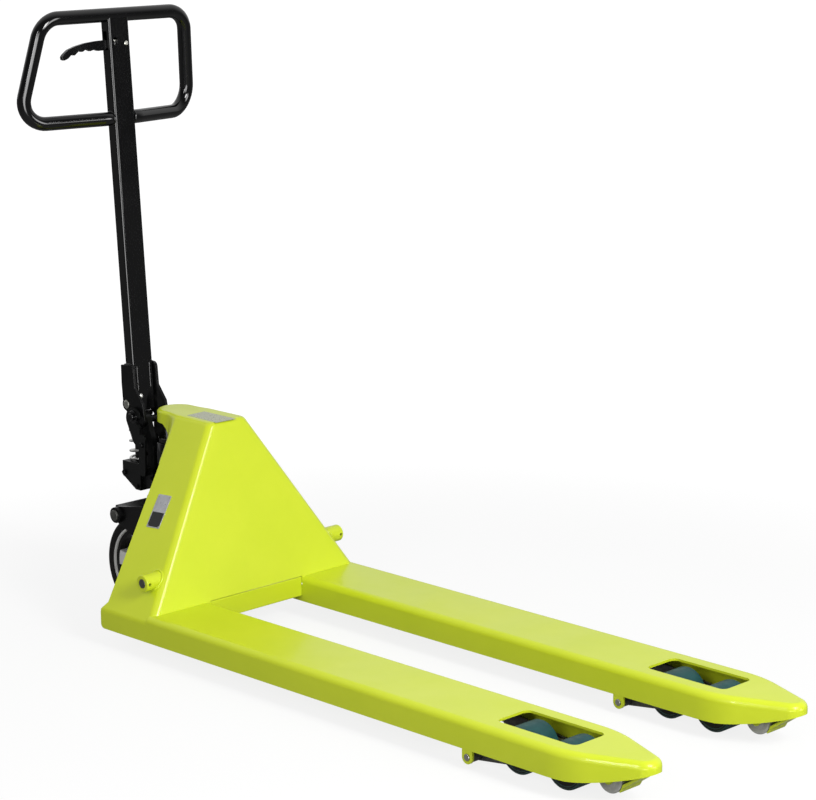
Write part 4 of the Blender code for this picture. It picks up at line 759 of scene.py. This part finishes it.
fitted(eased(hood, 0.0004, 2), "hood_skin", "chassis", lime_coat, "hood_shell", "hood_top")
print("hood", len(hood.data.polygons), "faces")

# %% [markdown]
# ## Copies with rounded edges
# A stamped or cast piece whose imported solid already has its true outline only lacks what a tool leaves:
# a small radius on every edge. Its mesh is copied, the loose triangles are merged, flat faces are made
# whole again, and the edges are rounded. The radius is the maker's: a press shears a plate with half a
# millimetre, a casting has three times that.

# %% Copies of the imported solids
BODY_OF = {node: body for body, nodes in frame["record"]["behaviour"]["bodies"].items() for node in nodes}


def dressed(node, name, finish, ease=0.0006, segments=2, angle=32.0, cuts=()):
    """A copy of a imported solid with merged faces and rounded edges, in the solid's place."""
    bpy.ops.object.select_all(action="DESELECT")
    piece = bpy.data.objects.new(name, CAD[node].data.copy())
    bpy.context.collection.objects.link(piece)
    chosen(piece)
    bpy.ops.object.mode_set(mode="EDIT")
    bpy.ops.mesh.select_all(action="SELECT")
    bpy.ops.mesh.remove_doubles(threshold=0.00001)
    bpy.ops.mesh.dissolve_limited(angle_limit=math.radians(0.6))
    bpy.ops.object.mode_set(mode="OBJECT")
    for cut in cuts:
        cut.data.transform(TRUCK)
    if cuts:
        combined(piece, "DIFFERENCE", *cuts)
    return fitted(eased(piece, ease, segments, angle), name, BODY_OF[node], finish, node, place=Matrix())


dressed("crossbar", "crossbar_angle", lime_coat, 0.0018, 4)
dressed("rocker", "rocker_arms", black_plate, 0.0008)
dressed("thrust_ring", "thrust_collar", black_cast, 0.0015, 3)
for word, side in SIDES:
    dressed("push_rod_" + word, "push_rod_bar_" + word, black_plate, 0.0008)
    dressed("roller_bracket_" + word, "roller_bracket_plates_" + word, sawn_steel, 0.0005)
    dressed("bogie_" + word, "bogie_links_" + word, zinc, 0.0005)
linkage = [o.name for o in bpy.data.objects if o.name.startswith(("rocker_", "push_", "roller_"))]
print("copied", len(linkage), "linkage pieces")

# %% [markdown]
# ## Turned pins and bosses
# Pins and axles come off a lathe, with a chamfer where each end was faced so that they slide in. A few
# places of the profile say it all, and the spin does the rest. The torsion shaft's bosses are painted
# with the hood.

# %% Pins, axles and bosses
CHAMFER = 0.0009
TORSION_END, BOSS_Y, BOSS_BORE, BOSS_LIP, BOSS_EASE = 0.2498, (0.2003, 0.2495), 0.0118, 0.0089, 0.0022
BOGIE_X, BOGIE_Z, BOGIE_REACH, TRUNNION = 0.930, 0.040, 0.0485, (-0.238, 0, 0.215)


def pin(name, node, radius, ends, centre):
    """A plain round bar across the truck with a chamfer at each end."""
    low, high = ends
    profile = [(0, low), (radius - CHAMFER, low), (radius, low + CHAMFER)]
    profile += [(radius, high - CHAMFER), (radius - CHAMFER, high), (0, high)]
    return fitted(spun(name, profile, centre, "Y", 40), name, BODY_OF[node], zinc, node)


torsion = (BOSS_X, 0, BOSS_Z)
profile = [(0.0115, TORSION_END - 0.004), (0.0085, TORSION_END - 0.0036), (0.0085, TORSION_END - 0.0006)]
profile += [(0.0079, TORSION_END), (0, TORSION_END)]
bar = spun("torsion", both_ends(profile), torsion, "Y", 48)
fitted(bar, "torsion_bar", BODY_OF["torsion_shaft"], sawn_steel, "torsion_shaft")
for word, side in SIDES:
    middle = side * FORK_Y
    near, far = BOSS_Y
    profile = [(BOSS_BORE, near), (BOSS_RADIUS, near), (BOSS_RADIUS, far - BOSS_EASE)]
    profile += [(BOSS_RADIUS - h, far - BOSS_EASE + v) for v, h in arc((0, BOSS_EASE), BOSS_EASE, -90, 0, 5)]
    profile += [(BOSS_LIP + 0.0006, far), (BOSS_LIP, far - 0.0006), (BOSS_LIP, far - 0.0031)]
    profile += [(BOSS_BORE, far - 0.0031), (BOSS_BORE, near)]
    boss = spun("torsion_sleeve_" + word, handed(profile, side), torsion, "Y", 72)
    pin_hole = [(0, -0.03), (0.0032, -0.03), (0.0032, 0.03), (0, 0.03)]
    combined(boss, "DIFFERENCE", spun("pin_hole", pin_hole, (BOSS_X + 0.03, side * 0.2430, BOSS_Z), "X", 24))
    fitted(eased(boss, 0.0), "torsion_sleeve_" + word, "chassis", lime_coat, "torsion_boss_" + word)
    for name, node, radius, reach, spot in (
        ("lug_bolt_", "lug_pin_", 0.006, FORK_HALF + 0.0016, (LUG_X, 0, LUG_Z)),
        ("entry_pin_", "entry_axle_", 0.005, ENTRY_HALF + RAMP_PLATE + 0.001, (ENTRY_X, 0, ENTRY_Z)),
        ("bogie_bolt_", "bogie_pin_", 0.006, BOGIE_REACH, (BOGIE_X, 0, BOGIE_Z)),
    ):
        pin(name + word, node + word, radius, (middle - reach, middle + reach), spot)
    profile = [(0, 0.100), (0.006, 0.100), (0.006, 0.1503), (0.0105, 0.1503)]
    profile += [(0.0105, 0.1528), (0.0088, 0.154), (0, 0.154)]
    head = spun("trunnion", handed(profile, side), TRUNNION, "Y", 40)
    fitted(head, "trunnion_stub_" + word, "rocker", sawn_steel, "trunnion_pin_" + word)
print("pins and bosses turned")

# %% [markdown]
# ## Load rollers and entry rollers
# A load roller is a polyurethane barrel with a black disc on each side, painted shade on its flanks.
# The tread's edges are rounded so that they climb over grit. The small entry roller before it is a
# plain nylon barrel.

# %% Rollers
ROLLER, ROLLER_HALF, ROLLER_STEP, ENTRY_ROLLER = 0.040, 0.0295, 0.050, 0.025


def roller_profile(radius, half, bore, ease, dish):
    """Half a barrel's section, from its bore over a dished side to the tread, and its mirror image."""
    deep, lip = dish
    side = [(bore, half), (bore + 0.006, half), (bore + 0.0075, half - deep)]
    side += [(lip - 0.0015, half - deep), (lip, half)]
    side += [(r, h) for h, r in arc((half - ease, radius - ease), ease, 0, 90, 6)]
    return side + [(r, -h) for r, h in side[::-1]] + side[:1]


for word, side in SIDES:
    middle = side * FORK_Y
    for end, sign in (("rear", -1), ("front", 1)):
        name = f"{word}_{end}"
        spot = (BOGIE_X + sign * ROLLER_STEP, middle, ROLLER)
        profile = roller_profile(ROLLER, ROLLER_HALF, 0.0135, 0.003, (0.0018, 0.033))
        barrel = spun("tread_" + name, profile, spot, "Y", 72)
        fitted(barrel, "load_tread_" + name, "load_roller_" + name, polyurethane, "load_roller_" + name)
        # Black discs on both sides of the barrel are painted shade for the roller's flanks
        disc = [(0.0064, 0.0296), (0.011, 0.0296), (0.0125, 0.0288), (0.0330, 0.0288)]
        disc += [(0.0345, 0.0296), (0.0362, 0.0296), (0.0362, 0.0265), (0.0132, 0.0265)]
        painted_shade_disc = spun("core_" + name, disc + [(r, -y) for r, y in disc[::-1]] + disc[:1], spot, "Y", 56)
        fitted(painted_shade_disc, "load_core_" + name, "load_roller_" + name, black_cast)
    profile = roller_profile(ENTRY_ROLLER, ENTRY_HALF, 0.0054, 0.002, (0.001, 0.020))
    barrel = spun("entry_barrel_" + word, profile, (ENTRY_X, middle, ENTRY_Z), "Y", 64)
    fitted(barrel, "entry_barrel_" + word, "entry_roller_" + word, nylon, "entry_roller_" + word)
print("8 rollers")

# %% [markdown]
# ## Steered wheels
# A solid rubber band is moulded on a die-cast centre. The band has round shoulders and a thin parting
# line where the mould closed. The centre has a rim and a boss joined by a web, and five windows in it
# leave the spokes. A thin black ring of painted shade lines the windows' outer wall and the web by the rim.

# %% Tyres and wheel centres
STEER_X, AXLE_Z, WHEEL_Y = -0.238, 0.100, (0.0455, 0.0945)
TYRE, RIM, RIM_INNER, HUB = 0.100, 0.081, 0.0772, 0.022
SHOULDER, SPOKES, SPOKE_TURN, WEB = 0.010, 5, 67, (0.060, 0.088)
AXLE_BORE, GAP_OUTER, GAP_INNER = 0.0103, (0.0705, 24), (0.030, 14)
SHADE_RING_BORE, SHADE_RING_NEAR, CAP_RADIUS, CAP_Y = 0.0690, 0.048, 0.017, (0.0953, 0.1000)
near, far = WHEEL_Y
axle = (STEER_X, 0, AXLE_Z)
for word, side in SIDES:
    mid = (near + far) / 2
    band = [(RIM, near), (RIM, far), (TYRE - SHOULDER - 0.004, far)]
    band += arc((TYRE - SHOULDER, far - SHOULDER), SHOULDER, 90, 0, 10)
    band += [(TYRE, mid + 0.001), (TYRE - 0.0005, mid), (TYRE, mid - 0.001)]
    band += arc((TYRE - SHOULDER, near + SHOULDER), SHOULDER, 0, -90, 10) + [(RIM, near)]
    tyre = spun("tyre_" + word, handed(band, side), axle, "Y", 112)
    fitted(tyre, "tyre_band_" + word, "wheel_" + word, tyre_rubber, "wheel_tyre_" + word)
    rim = RIM - FIT
    section = [(AXLE_BORE, near), (HUB, near), (HUB, WEB[0]), (RIM_INNER - 0.002, WEB[0])]
    section += [(RIM_INNER, near + 0.002), (rim, near + 0.002), (rim, far - 0.002), (RIM_INNER, far - 0.002)]
    section += [(RIM_INNER - 0.002, WEB[1]), (HUB + 0.003, WEB[1]), (HUB, far)]
    section += [(AXLE_BORE, far), (AXLE_BORE, near)]
    centre = spun("centre_" + word, handed(section, side), axle, "Y", 96)
    cutters = []
    for i in range(SPOKES):
        turn = 360 * i / SPOKES + SPOKE_TURN
        (outer, wide), (inner, slim) = GAP_OUTER, GAP_INNER
        gap = arc((STEER_X, AXLE_Z), outer, turn - wide, turn + wide, 10)
        gap += arc((STEER_X, AXLE_Z), inner, turn + slim, turn - slim, 4)
        cutters.append(slab("window", gap, *sorted((side * 0.04, side * 0.1)), "Y"))
    combined(centre, "DIFFERENCE", *cutters)
    centre = eased(centre, 0.0009, 2, 28.0)
    fitted(centre, "wheel_centre_" + word, "wheel_" + word, cast_alloy, "wheel_hub_" + word)
    # A black ring of painted shade: it lines the windows' outer wall and the web's outer zone by the rim
    painted_shade_ring = [(SHADE_RING_BORE, SHADE_RING_NEAR), (0.0703, SHADE_RING_NEAR), (0.0703, WEB[1] + 0.0002)]
    painted_shade_ring += [(0.0752, WEB[1] + 0.0002), (0.0757, WEB[1] + 0.0014), (0.0752, WEB[1] + 0.0010)]
    painted_shade_ring += [(SHADE_RING_BORE, WEB[1] + 0.0008)]
    painted_shade_ring = spun("liner_" + word, handed(painted_shade_ring + painted_shade_ring[:1], side), axle, "Y", 96)
    fitted(painted_shade_ring, "wheel_liner_" + word, "wheel_" + word, black_cast)
    ends = sorted(side * y for y in CAP_Y)
    profile = [(0, ends[0]), (CAP_RADIUS, ends[0]), (CAP_RADIUS, ends[1]), (0, ends[1])]
    cap = spun("cap_" + word, profile, axle, "Y", 48)
    fitted(eased(cap, 0.0014, 3, 40.0), "wheel_cap_" + word, "steering", zinc, "axle_cap_" + word)
pin("wheel_spindle", "wheel_axle", 0.010, (-0.095, 0.095), axle)
print("wheels done")

# %% [markdown]
# ## The pump
# One iron casting carries the axle, the cylinder and the yoke for the tiller, so its edges are round
# and its skin is sandy. The cylinder, its gland nut and the chromed ram are turned. The ram's top sits
# in a cup under the nose.

# %% Pump casting and ram
# The shields' front edges stop short of the hood's nose, which passes them when the wheels are steered
SHIELD_FRONT, SHIELD_Y = ((-0.2952, 0.3460), (-0.25, 0.42)), (0.0342, 0.0400)
trims = [slab("shield_trim", box_outline(*SHIELD_FRONT), *sorted(side * y for y in SHIELD_Y), "Y")
         for word, side in SIDES]
dressed("pump_body", "pump_casting", black_cast, 0.0016, 3, 30.0, trims)
dressed("valve_lever", "valve_arm", near_black_steel, 0.0006)
stem = (STEER_X, 0, 0)
RAM, RAM_LOW, RAM_HIGH = 0.016, 0.152, 0.3835
BORE = 0.0166
profile = [(BORE, 0.2623), (0.0325, 0.2623), (0.033, 0.264), (0.033, 0.3345), (0.032, 0.336), (BORE, 0.336)]
barrel = spun("cylinder", profile + profile[:1], stem, "Z", 72)
fitted(barrel, "lift_barrel", "steering", black_gloss, "lift_cylinder")
profile = [(BORE, 0.3363), (0.0285, 0.3363), (0.029, 0.337), (0.029, 0.3445), (0.028, 0.3455), (BORE, 0.3455)]
gland = spun("gland", profile + profile[:1], stem, "Z", 64)
fitted(gland, "gland_ring", "steering", black_gloss, "gland_nut")
profile = [(0, RAM_LOW), (RAM, RAM_LOW), (RAM, RAM_HIGH - 0.008), (RAM - 0.0012, RAM_HIGH - 0.005)]
profile += [(RAM - 0.0038, RAM_HIGH - 0.0022), (RAM - 0.008, RAM_HIGH), (0, RAM_HIGH)]
fitted(spun("ram", profile, stem, "Z", 64), "ram_rod", "chassis", chrome, "lift_ram")
dressed("ram_cup", "ram_seat", black_plate, 0.0008)
dressed("thrust_bearing", "thrust_race", zinc, 0.0008)
print("pump done")

# %% [markdown]
# ## Plunger and spring
# The spring holds the plunger up against the tiller's roller. It is one steel wire wound on a mandrel,
# drawn here as a line that climbs while it goes round, turned to a curve with a round section and then
# to a mesh.

# %% Plunger, guide and spring
PLUNGER_X, SPRING_LOW, SPRING_HIGH = -0.338, 0.2836, 0.3744
SPRING_RADIUS, SPRING_WIRE, CURLS, CURL_STEPS = 0.0215, 0.005, 6, 32


def tube(name, path, radius, closed=False, sides=6, swell=None):
    """A line of edges turned to a curve with a round section, and that to a mesh; swell varies its width."""
    wire(name, path)
    if closed:
        bpy.ops.mesh.select_all(action="DESELECT")
        mesh = bmesh.from_edit_mesh(bpy.context.object.data)
        ends = [v for v in mesh.verts if len(v.link_edges) == 1]
        mesh.edges.new(ends)
        bmesh.update_edit_mesh(bpy.context.object.data)
    bpy.ops.object.mode_set(mode="OBJECT")
    bpy.ops.object.convert(target="CURVE")
    piece = bpy.context.object
    piece.data.bevel_depth = radius
    piece.data.bevel_resolution = sides
    piece.data.use_fill_caps = True
    if swell:
        for point, width in zip(piece.data.splines[0].points, swell):
            point.radius = width
    bpy.ops.object.convert(target="MESH")
    bpy.ops.object.mode_set(mode="EDIT")
    bpy.ops.mesh.select_all(action="SELECT")
    bpy.ops.mesh.remove_doubles(threshold=0.000002)
    bpy.ops.mesh.normals_make_consistent(inside=False)
    bpy.ops.object.mode_set(mode="OBJECT")
    bpy.ops.object.shade_smooth_by_angle(angle=math.radians(50))
    return bpy.context.object


def coil_rise(share):
    """A coil's climb: flat in the first and last curl, where the ends are ground, and even between."""
    flat = 0.75 / CURLS
    inner = min(max((share - flat) / (1 - 2 * flat), 0.0), 1.0)
    return inner * inner * (3 - 2 * inner) * 0.3 + inner * 0.7


spots = []
low, high = SPRING_LOW + SPRING_WIRE / 2, SPRING_HIGH - SPRING_WIRE / 2
for i in range(CURLS * CURL_STEPS + 1):
    share, turn = i / (CURLS * CURL_STEPS), 2 * math.pi * i / CURL_STEPS
    z = low + (high - low) * (0.06 * share + 0.94 * coil_rise(share))
    spots.append((PLUNGER_X + SPRING_RADIUS * math.cos(turn), SPRING_RADIUS * math.sin(turn), z))
spring = tube("spring", spots, SPRING_WIRE / 2)
fitted(spring, "plunger_coil", "steering", spring_steel, "plunger_spring")
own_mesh(spring)
well = (PLUNGER_X, 0, 0)
profile = [(0, 0.295), (0.008, 0.295), (0.008, 0.3748), (0.0238, 0.3748), (0.0245, 0.3755), (0.0245, 0.3792)]
profile += [(0.0238, 0.3805), (0.0225, 0.3812), (0, 0.3812)]
fitted(spun("plunger", profile, well, "Z", 64), "plunger_head", "plunger", near_black_steel, "pump_plunger")
profile = [(0.0086, 0.2833), (0.0125, 0.2833), (0.0125, 0.315), (0.0115, 0.316), (0.0086, 0.316)]
bush = spun("guide", profile + profile[:1], well, "Z", 48)
fitted(bush, "plunger_bush", "steering", near_black_steel, "plunger_guide")
dressed("filler_plug", "oil_plug", black_plate, 0.0008)
dressed("relief_screw", "valve_screw", black_plate, 0.0006)

# %% [markdown]
# ## Tiller
# A rectangular steel tube is welded to two cheeks at its foot and to a bent round handle at its head.
# Its long corners are rolled round, so they catch a bright line of light. It is drawn straight up with
# its pivot at the origin.

# %% Tiller tube
TUBE_X, TUBE_DEPTH, TUBE_WIDTH, TUBE_WALL, TUBE_ROUND = -0.0312, 0.0125, 0.025, 0.0025, 0.0045
TUBE_LOW, TUBE_HIGH, FOOT_LOW = 0.046, 0.7845, 0.015
LOOP_RADIUS, LOOP_BEND, LOOP_HIGH = 0.0135, 0.045, 0.7865
LEVER_Y, LEVER_Z, CLEVIS_Y = 0.0145, 0.7315, -0.0114
outer = box_outline((TUBE_X - TUBE_DEPTH, -TUBE_WIDTH), (TUBE_X + TUBE_DEPTH, TUBE_WIDTH), TUBE_ROUND)
inner = box_outline((TUBE_X - TUBE_DEPTH + TUBE_WALL, TUBE_WALL - TUBE_WIDTH),
                    (TUBE_X + TUBE_DEPTH - TUBE_WALL, TUBE_WIDTH - TUBE_WALL), TUBE_ROUND - TUBE_WALL)
stem = slab("tiller_stem", outer, TUBE_LOW, TUBE_HIGH, "Z")
combined(stem, "DIFFERENCE", slab("bore", inner, 0.0, 0.9, "Z"))
front = TUBE_X + TUBE_DEPTH
apron = box_outline((-TUBE_WIDTH + 0.004, FOOT_LOW), (TUBE_WIDTH - 0.004, TUBE_LOW + 0.01), 0.004)
combined(stem, "UNION", slab("apron", apron, front - TUBE_WALL, front - 0.0001, "X"))
slot = box_outline((CLEVIS_Y - 0.0035, LEVER_Z - 0.0035), (CLEVIS_Y + 0.005, LEVER_Z + 0.012), 0.0034)
mouth = box_outline((TUBE_X - 0.0065, LEVER_Z - 0.0115), (TUBE_X + 0.005, LEVER_Z + 0.0245), 0.002)
hole = box_outline((-0.016, 0.039), (-0.005, 0.046), 0.0034)
combined(
    stem, "DIFFERENCE",
    slab("lever_mouth", mouth, -0.03, -0.02, "Y"),
    slab("clevis_slot", slot, TUBE_X, front + 0.01, "X"),
    slab("apron_hole", hole, TUBE_X + 0.005, front + 0.01, "X"),
    spun("loop_seat", [(0, -0.1), (LOOP_RADIUS + FIT, -0.1), (LOOP_RADIUS + FIT, 0.1), (0, 0.1)],
         (TUBE_X, 0, LOOP_HIGH), "Y", 48),
)
fitted(eased(stem, 0.0005), "tiller_stem", "tiller", black_gloss, "tiller_tube", place=TILLER)
for word, side in SIDES:
    dressed("tiller_cheek_" + word, "cheek_plate_" + word, black_plate, 0.0009, 3)
print("tiller stem", len(stem.data.polygons), "faces")

# %% [markdown]
# ## Handle loop
# One length of round tube is bent into a loop wider at its foot than at its head, and both ends are
# welded to the tiller. The line is pulled along the corners with an arc in each, and then given its
# round section.

# %% Handle loop
LOOP_TOP, LOOP_LOW = (TUBE_X, 0.1728, LOOP_HIGH), (-0.0815, 0.2090, 0.5890)
LOOP_ROOT, LOOP_RUN = 0.0256, 0.012


def rounded_path(corners, radius, steps):
    """A path through corners, each inner one replaced by an arc."""
    path = [Vector(corners[0])]
    for before, here, after in zip(corners, corners[1:], corners[2:]):
        here = Vector(here)
        back, on = (Vector(before) - here).normalized(), (Vector(after) - here).normalized()
        half = back.angle(on) / 2
        centre = here + (back + on).normalized() * (radius / math.sin(half))
        first, last = (here + way * (radius / math.tan(half)) - centre for way in (back, on))
        sweep = first.angle(last)
        for i in range(steps + 1):
            a, b = (math.sin(part * sweep) / math.sin(sweep) for part in (1 - i / steps, i / steps))
            path.append(centre + first * a + last * b)
    return path + [Vector(corners[-1])]


foot_z = LOOP_LOW[2]
half = [(TUBE_X, LOOP_ROOT, foot_z), (TUBE_X, LOOP_ROOT + LOOP_RUN, foot_z), LOOP_LOW, LOOP_TOP]
bends = rounded_path(half + [(x, -y, z) for x, y, z in half[::-1]], LOOP_BEND, 14)
loop = tube("loop", bends, LOOP_RADIUS, sides=10)
fitted(loop, "handle_tube", "tiller", black_gloss, "handle_loop", place=TILLER)
print("loop", len(loop.data.polygons), "faces")

# %% [markdown]
# ## Release lever
# The lever that lowers the forks is a thick plate with finger hollows beneath. Its imported solid is
# copied, and all its edges are well rounded for the hand.

# %% Lever, rod and pins
dressed("release_lever", "release_grip", black_gloss, 0.0022, 4, 25.0)
dressed("pull_rod", "pull_wire_eye", zinc, 0.0004)
CAM_ARM, CAM_TURN = 0.049, math.radians(33) + TILLER_LEAN
CAM_X, CAM_Z = -CAM_ARM * math.cos(CAM_TURN), CAM_ARM * math.sin(CAM_TURN)


def headed(name, radius, head, spot):
    """A pin across the cheeks with a low domed head at each end."""
    seat, end = 0.0316, 0.0345
    side = [(radius, seat), (head, seat), (head, seat + 0.001)]
    side += [(head * 0.82, end - 0.0006), (head * 0.45, end), (0, end)]
    return spun(name, both_ends(side), spot, "Y", 40)


fitted(headed("pivot", 0.007, 0.011, TILLER_PIVOT), "pivot_bolt", "steering", black_plate, "tiller_pivot_pin")
cam_spot = (CAM_X, 0, CAM_Z)
fitted(headed("cam_pin", 0.005, 0.0085, cam_spot), "cam_bolt", "tiller", zinc, "roller_pin", place=TILLER)
profile = both_ends([(0.0165, 0.0236), (0.0158, 0.0243), (0.0053, 0.0243)])
cam = spun("cam", profile + profile[:1], cam_spot, "Y", 56)
fitted(cam, "cam_roller", "cam", zinc, "pump_roller", place=TILLER)
head = [(0.003, 0.0128), (0.0045, 0.0128), (0.0045, 0.0135), (0.0033, 0.0145), (0, 0.0145)]
rivet = spun("rivet", both_ends(head), (TUBE_X, LEVER_Y, LEVER_Z), "X", 32)
fitted(rivet, "lever_rivet", "tiller", zinc, "lever_pin", place=TILLER)
print("tiller head done")

# %% [markdown]
# ## Weld beads
# Sheet and plate are joined by hand welding, which leaves a bead a little uneven in width, then painted
# over. A bead is a line along the joint turned to a round section, and a noise along the line swells
# and thins it as a welder's hand does.

# %% Weld beads
RIPPLE_MM, RIPPLE = 5.0, 0.22


def bead(name, path, radius, body, finish, place=TRUCK, closed=False):
    """A weld along a path: a round section whose width wanders along the joint."""
    spots = [Vector(spot) for spot in path]
    swell = [1 + RIPPLE * noise.noise(spot * (1000 / RIPPLE_MM)) for spot in spots]
    return fitted(tube(name, spots, radius, closed, 4, swell), name, body, finish, place=place)


def between(first, last, steps):
    """Places on a straight line, both ends included."""
    return [Vector(first).lerp(Vector(last), i / steps) for i in range(steps + 1)]


for word, side in SIDES:
    ring = [(BOSS_X + a, side * (0.2183 - SIDE_SLOPE * b), BOSS_Z + b)
            for a, b in arc((0, 0), BOSS_RADIUS + 0.001, 0, 355, 71)]
    bead("boss_weld_" + word, ring, 0.0022, "chassis", lime_coat, closed=True)
    cheek = between((-0.0425, side * 0.0262, 0.1080), (-0.0255, side * 0.0262, 0.1085), 8)
    cheek += [Vector((x, side * 0.0258, z)) for x, z in arc((-0.0238, 0.1000), 0.0085, 80, 20, 8)]
    bead("cheek_top_weld_" + word, cheek, 0.0021, "tiller", black_gloss, TILLER)
    high, low = (0.1040, 0.0560) if side < 0 else (0.1085, 0.0600)
    apron_weld = between((front - 0.0002, side * 0.0155, high), (front - 0.0002, side * 0.0155, low), 22)
    bead("apron_weld_" + word, apron_weld, 0.0021, "tiller", black_gloss, TILLER)
    root = [(TUBE_X + a, side * 0.0257, LOOP_LOW[2] + b) for a, b in arc((0, 0), LOOP_RADIUS, 0, 350, 35)]
    bead("loop_root_weld_" + word, root, 0.0019, "tiller", black_gloss, TILLER, True)

# %% [markdown]
# ## Shield bolts and the foot rivet
# A shield on each side of the pump's yoke keeps fingers out of the cam. It is held by a shouldered bolt
# and a smaller screw, both turned and painted over. A rivet closes the hole in the tiller's apron; its
# near-white zinc is a painted highlight.

# %% Bolts and rivet
SHIELD_FACE, BOLT_SPOT, SCREW_SPOT = 0.0384, (-0.3135, 0, 0.3790), (-0.2895, 0, 0.3250)
# Each profile is a radius and a height over the shield
COLLAR = [(0, 0.0), (0.0125, 0.0), (0.0125, 0.0016), (0.0115, 0.0024), (0.0076, 0.0024)]
COLLAR += [(0.0074, 0.0066), (0.0066, 0.0074), (0.0028, 0.0074), (0.0022, 0.0062), (0, 0.0062)]
HEAD = [(0, 0.0), (0.0052, 0.0), (0.0052, 0.0026), (0.0044, 0.0034), (0, 0.0034)]
for word, side in SIDES:
    for name, profile, spot, steps, finish in (
        ("shield_bolt_", COLLAR, BOLT_SPOT, 48, black_gloss),
        ("shield_screw_", HEAD, SCREW_SPOT, 32, black_plate),
    ):
        raised = [(r, side * (SHIELD_FACE + h)) for r, h in profile]
        fitted(spun(name + word, raised, spot, "Y", steps), name + word, "steering", finish)
# The apron rivet's near-white zinc is a painted highlight at the apron's hole
dome = [(0, -0.004), (0.0030, -0.004), (0.0030, 0.0004), (0.0047, 0.0004)]
dome += [(0.0045, 0.0012), (0.0034, 0.0022), (0.0016, 0.0027), (0, 0.0028)]
button = spun("apron_rivet", dome, (front, -0.0106, 0.0445), "X", 40)
fitted(button, "apron_rivet", "tiller", painted_highlight_zinc, place=TILLER)
print("bolts and rivet set")

# %% [markdown]
# ## Blank plates
# On the right panel a small aluminium plate is riveted, with a black lower field, and a silver film is
# stuck on the top plate. Both are left without any marks. They are cut as thin slabs lying flat and
# then turned to lie on their panels.

# %% Plates
PLATE_SPOT, PLATE_SIZE, PLATE_BEND = (-0.1060, -0.1485, 0.2467), (0.036, 0.067), 0.002
lean = math.atan(SIDE_SLOPE)
on_panel = TRUCK @ Matrix.Translation(PLATE_SPOT) @ Matrix.Rotation(math.pi / 2 - lean, 4, "X")
on_panel = on_panel @ Matrix.Rotation(math.radians(3.5), 4, "Z")
wide, tall = (side / 2 for side in PLATE_SIZE)
sheet = slab("data_plate", box_outline((-wide, -tall), (wide, tall), PLATE_BEND), -0.0002, 0.0008, "Z")
fitted(eased(sheet, 0.0002, 2), "data_plate", "chassis", plate_aluminium, place=on_panel)
inset = box_outline((-wide + 0.002, -tall + 0.002), (wide - 0.002, -0.002), 0.001)
field = slab("plate_field", inset, 0.0006, 0.00095, "Z")
fitted(eased(field, 0.0001, 1), "plate_field", "chassis", black_gloss, place=on_panel)
for i, (a, b) in enumerate(((-1, -1), (1, -1), (1, 1), (-1, 1))):
    head = [(0, 0.0005), (0.0016, 0.0005), (0.0015, 0.0010), (0.0009, 0.0015), (0, 0.0016)]
    stud = spun("plate_rivet", head, (a * (wide - 0.0035), b * (tall - 0.0035), 0), "Z", 20)
    fitted(stud, f"plate_rivet_{i + 1}", "chassis", zinc, place=on_panel)
film = [(-0.1595, -0.0300), (-0.0710, -0.0330), (-0.0690, 0.0150), (-0.1610, 0.0150)]
fitted(slab("top_film", film, HOOD_TOP - 0.0002, HOOD_TOP + 0.00025, "Z"), "top_film", "chassis", silver_film)
print("plates fitted")
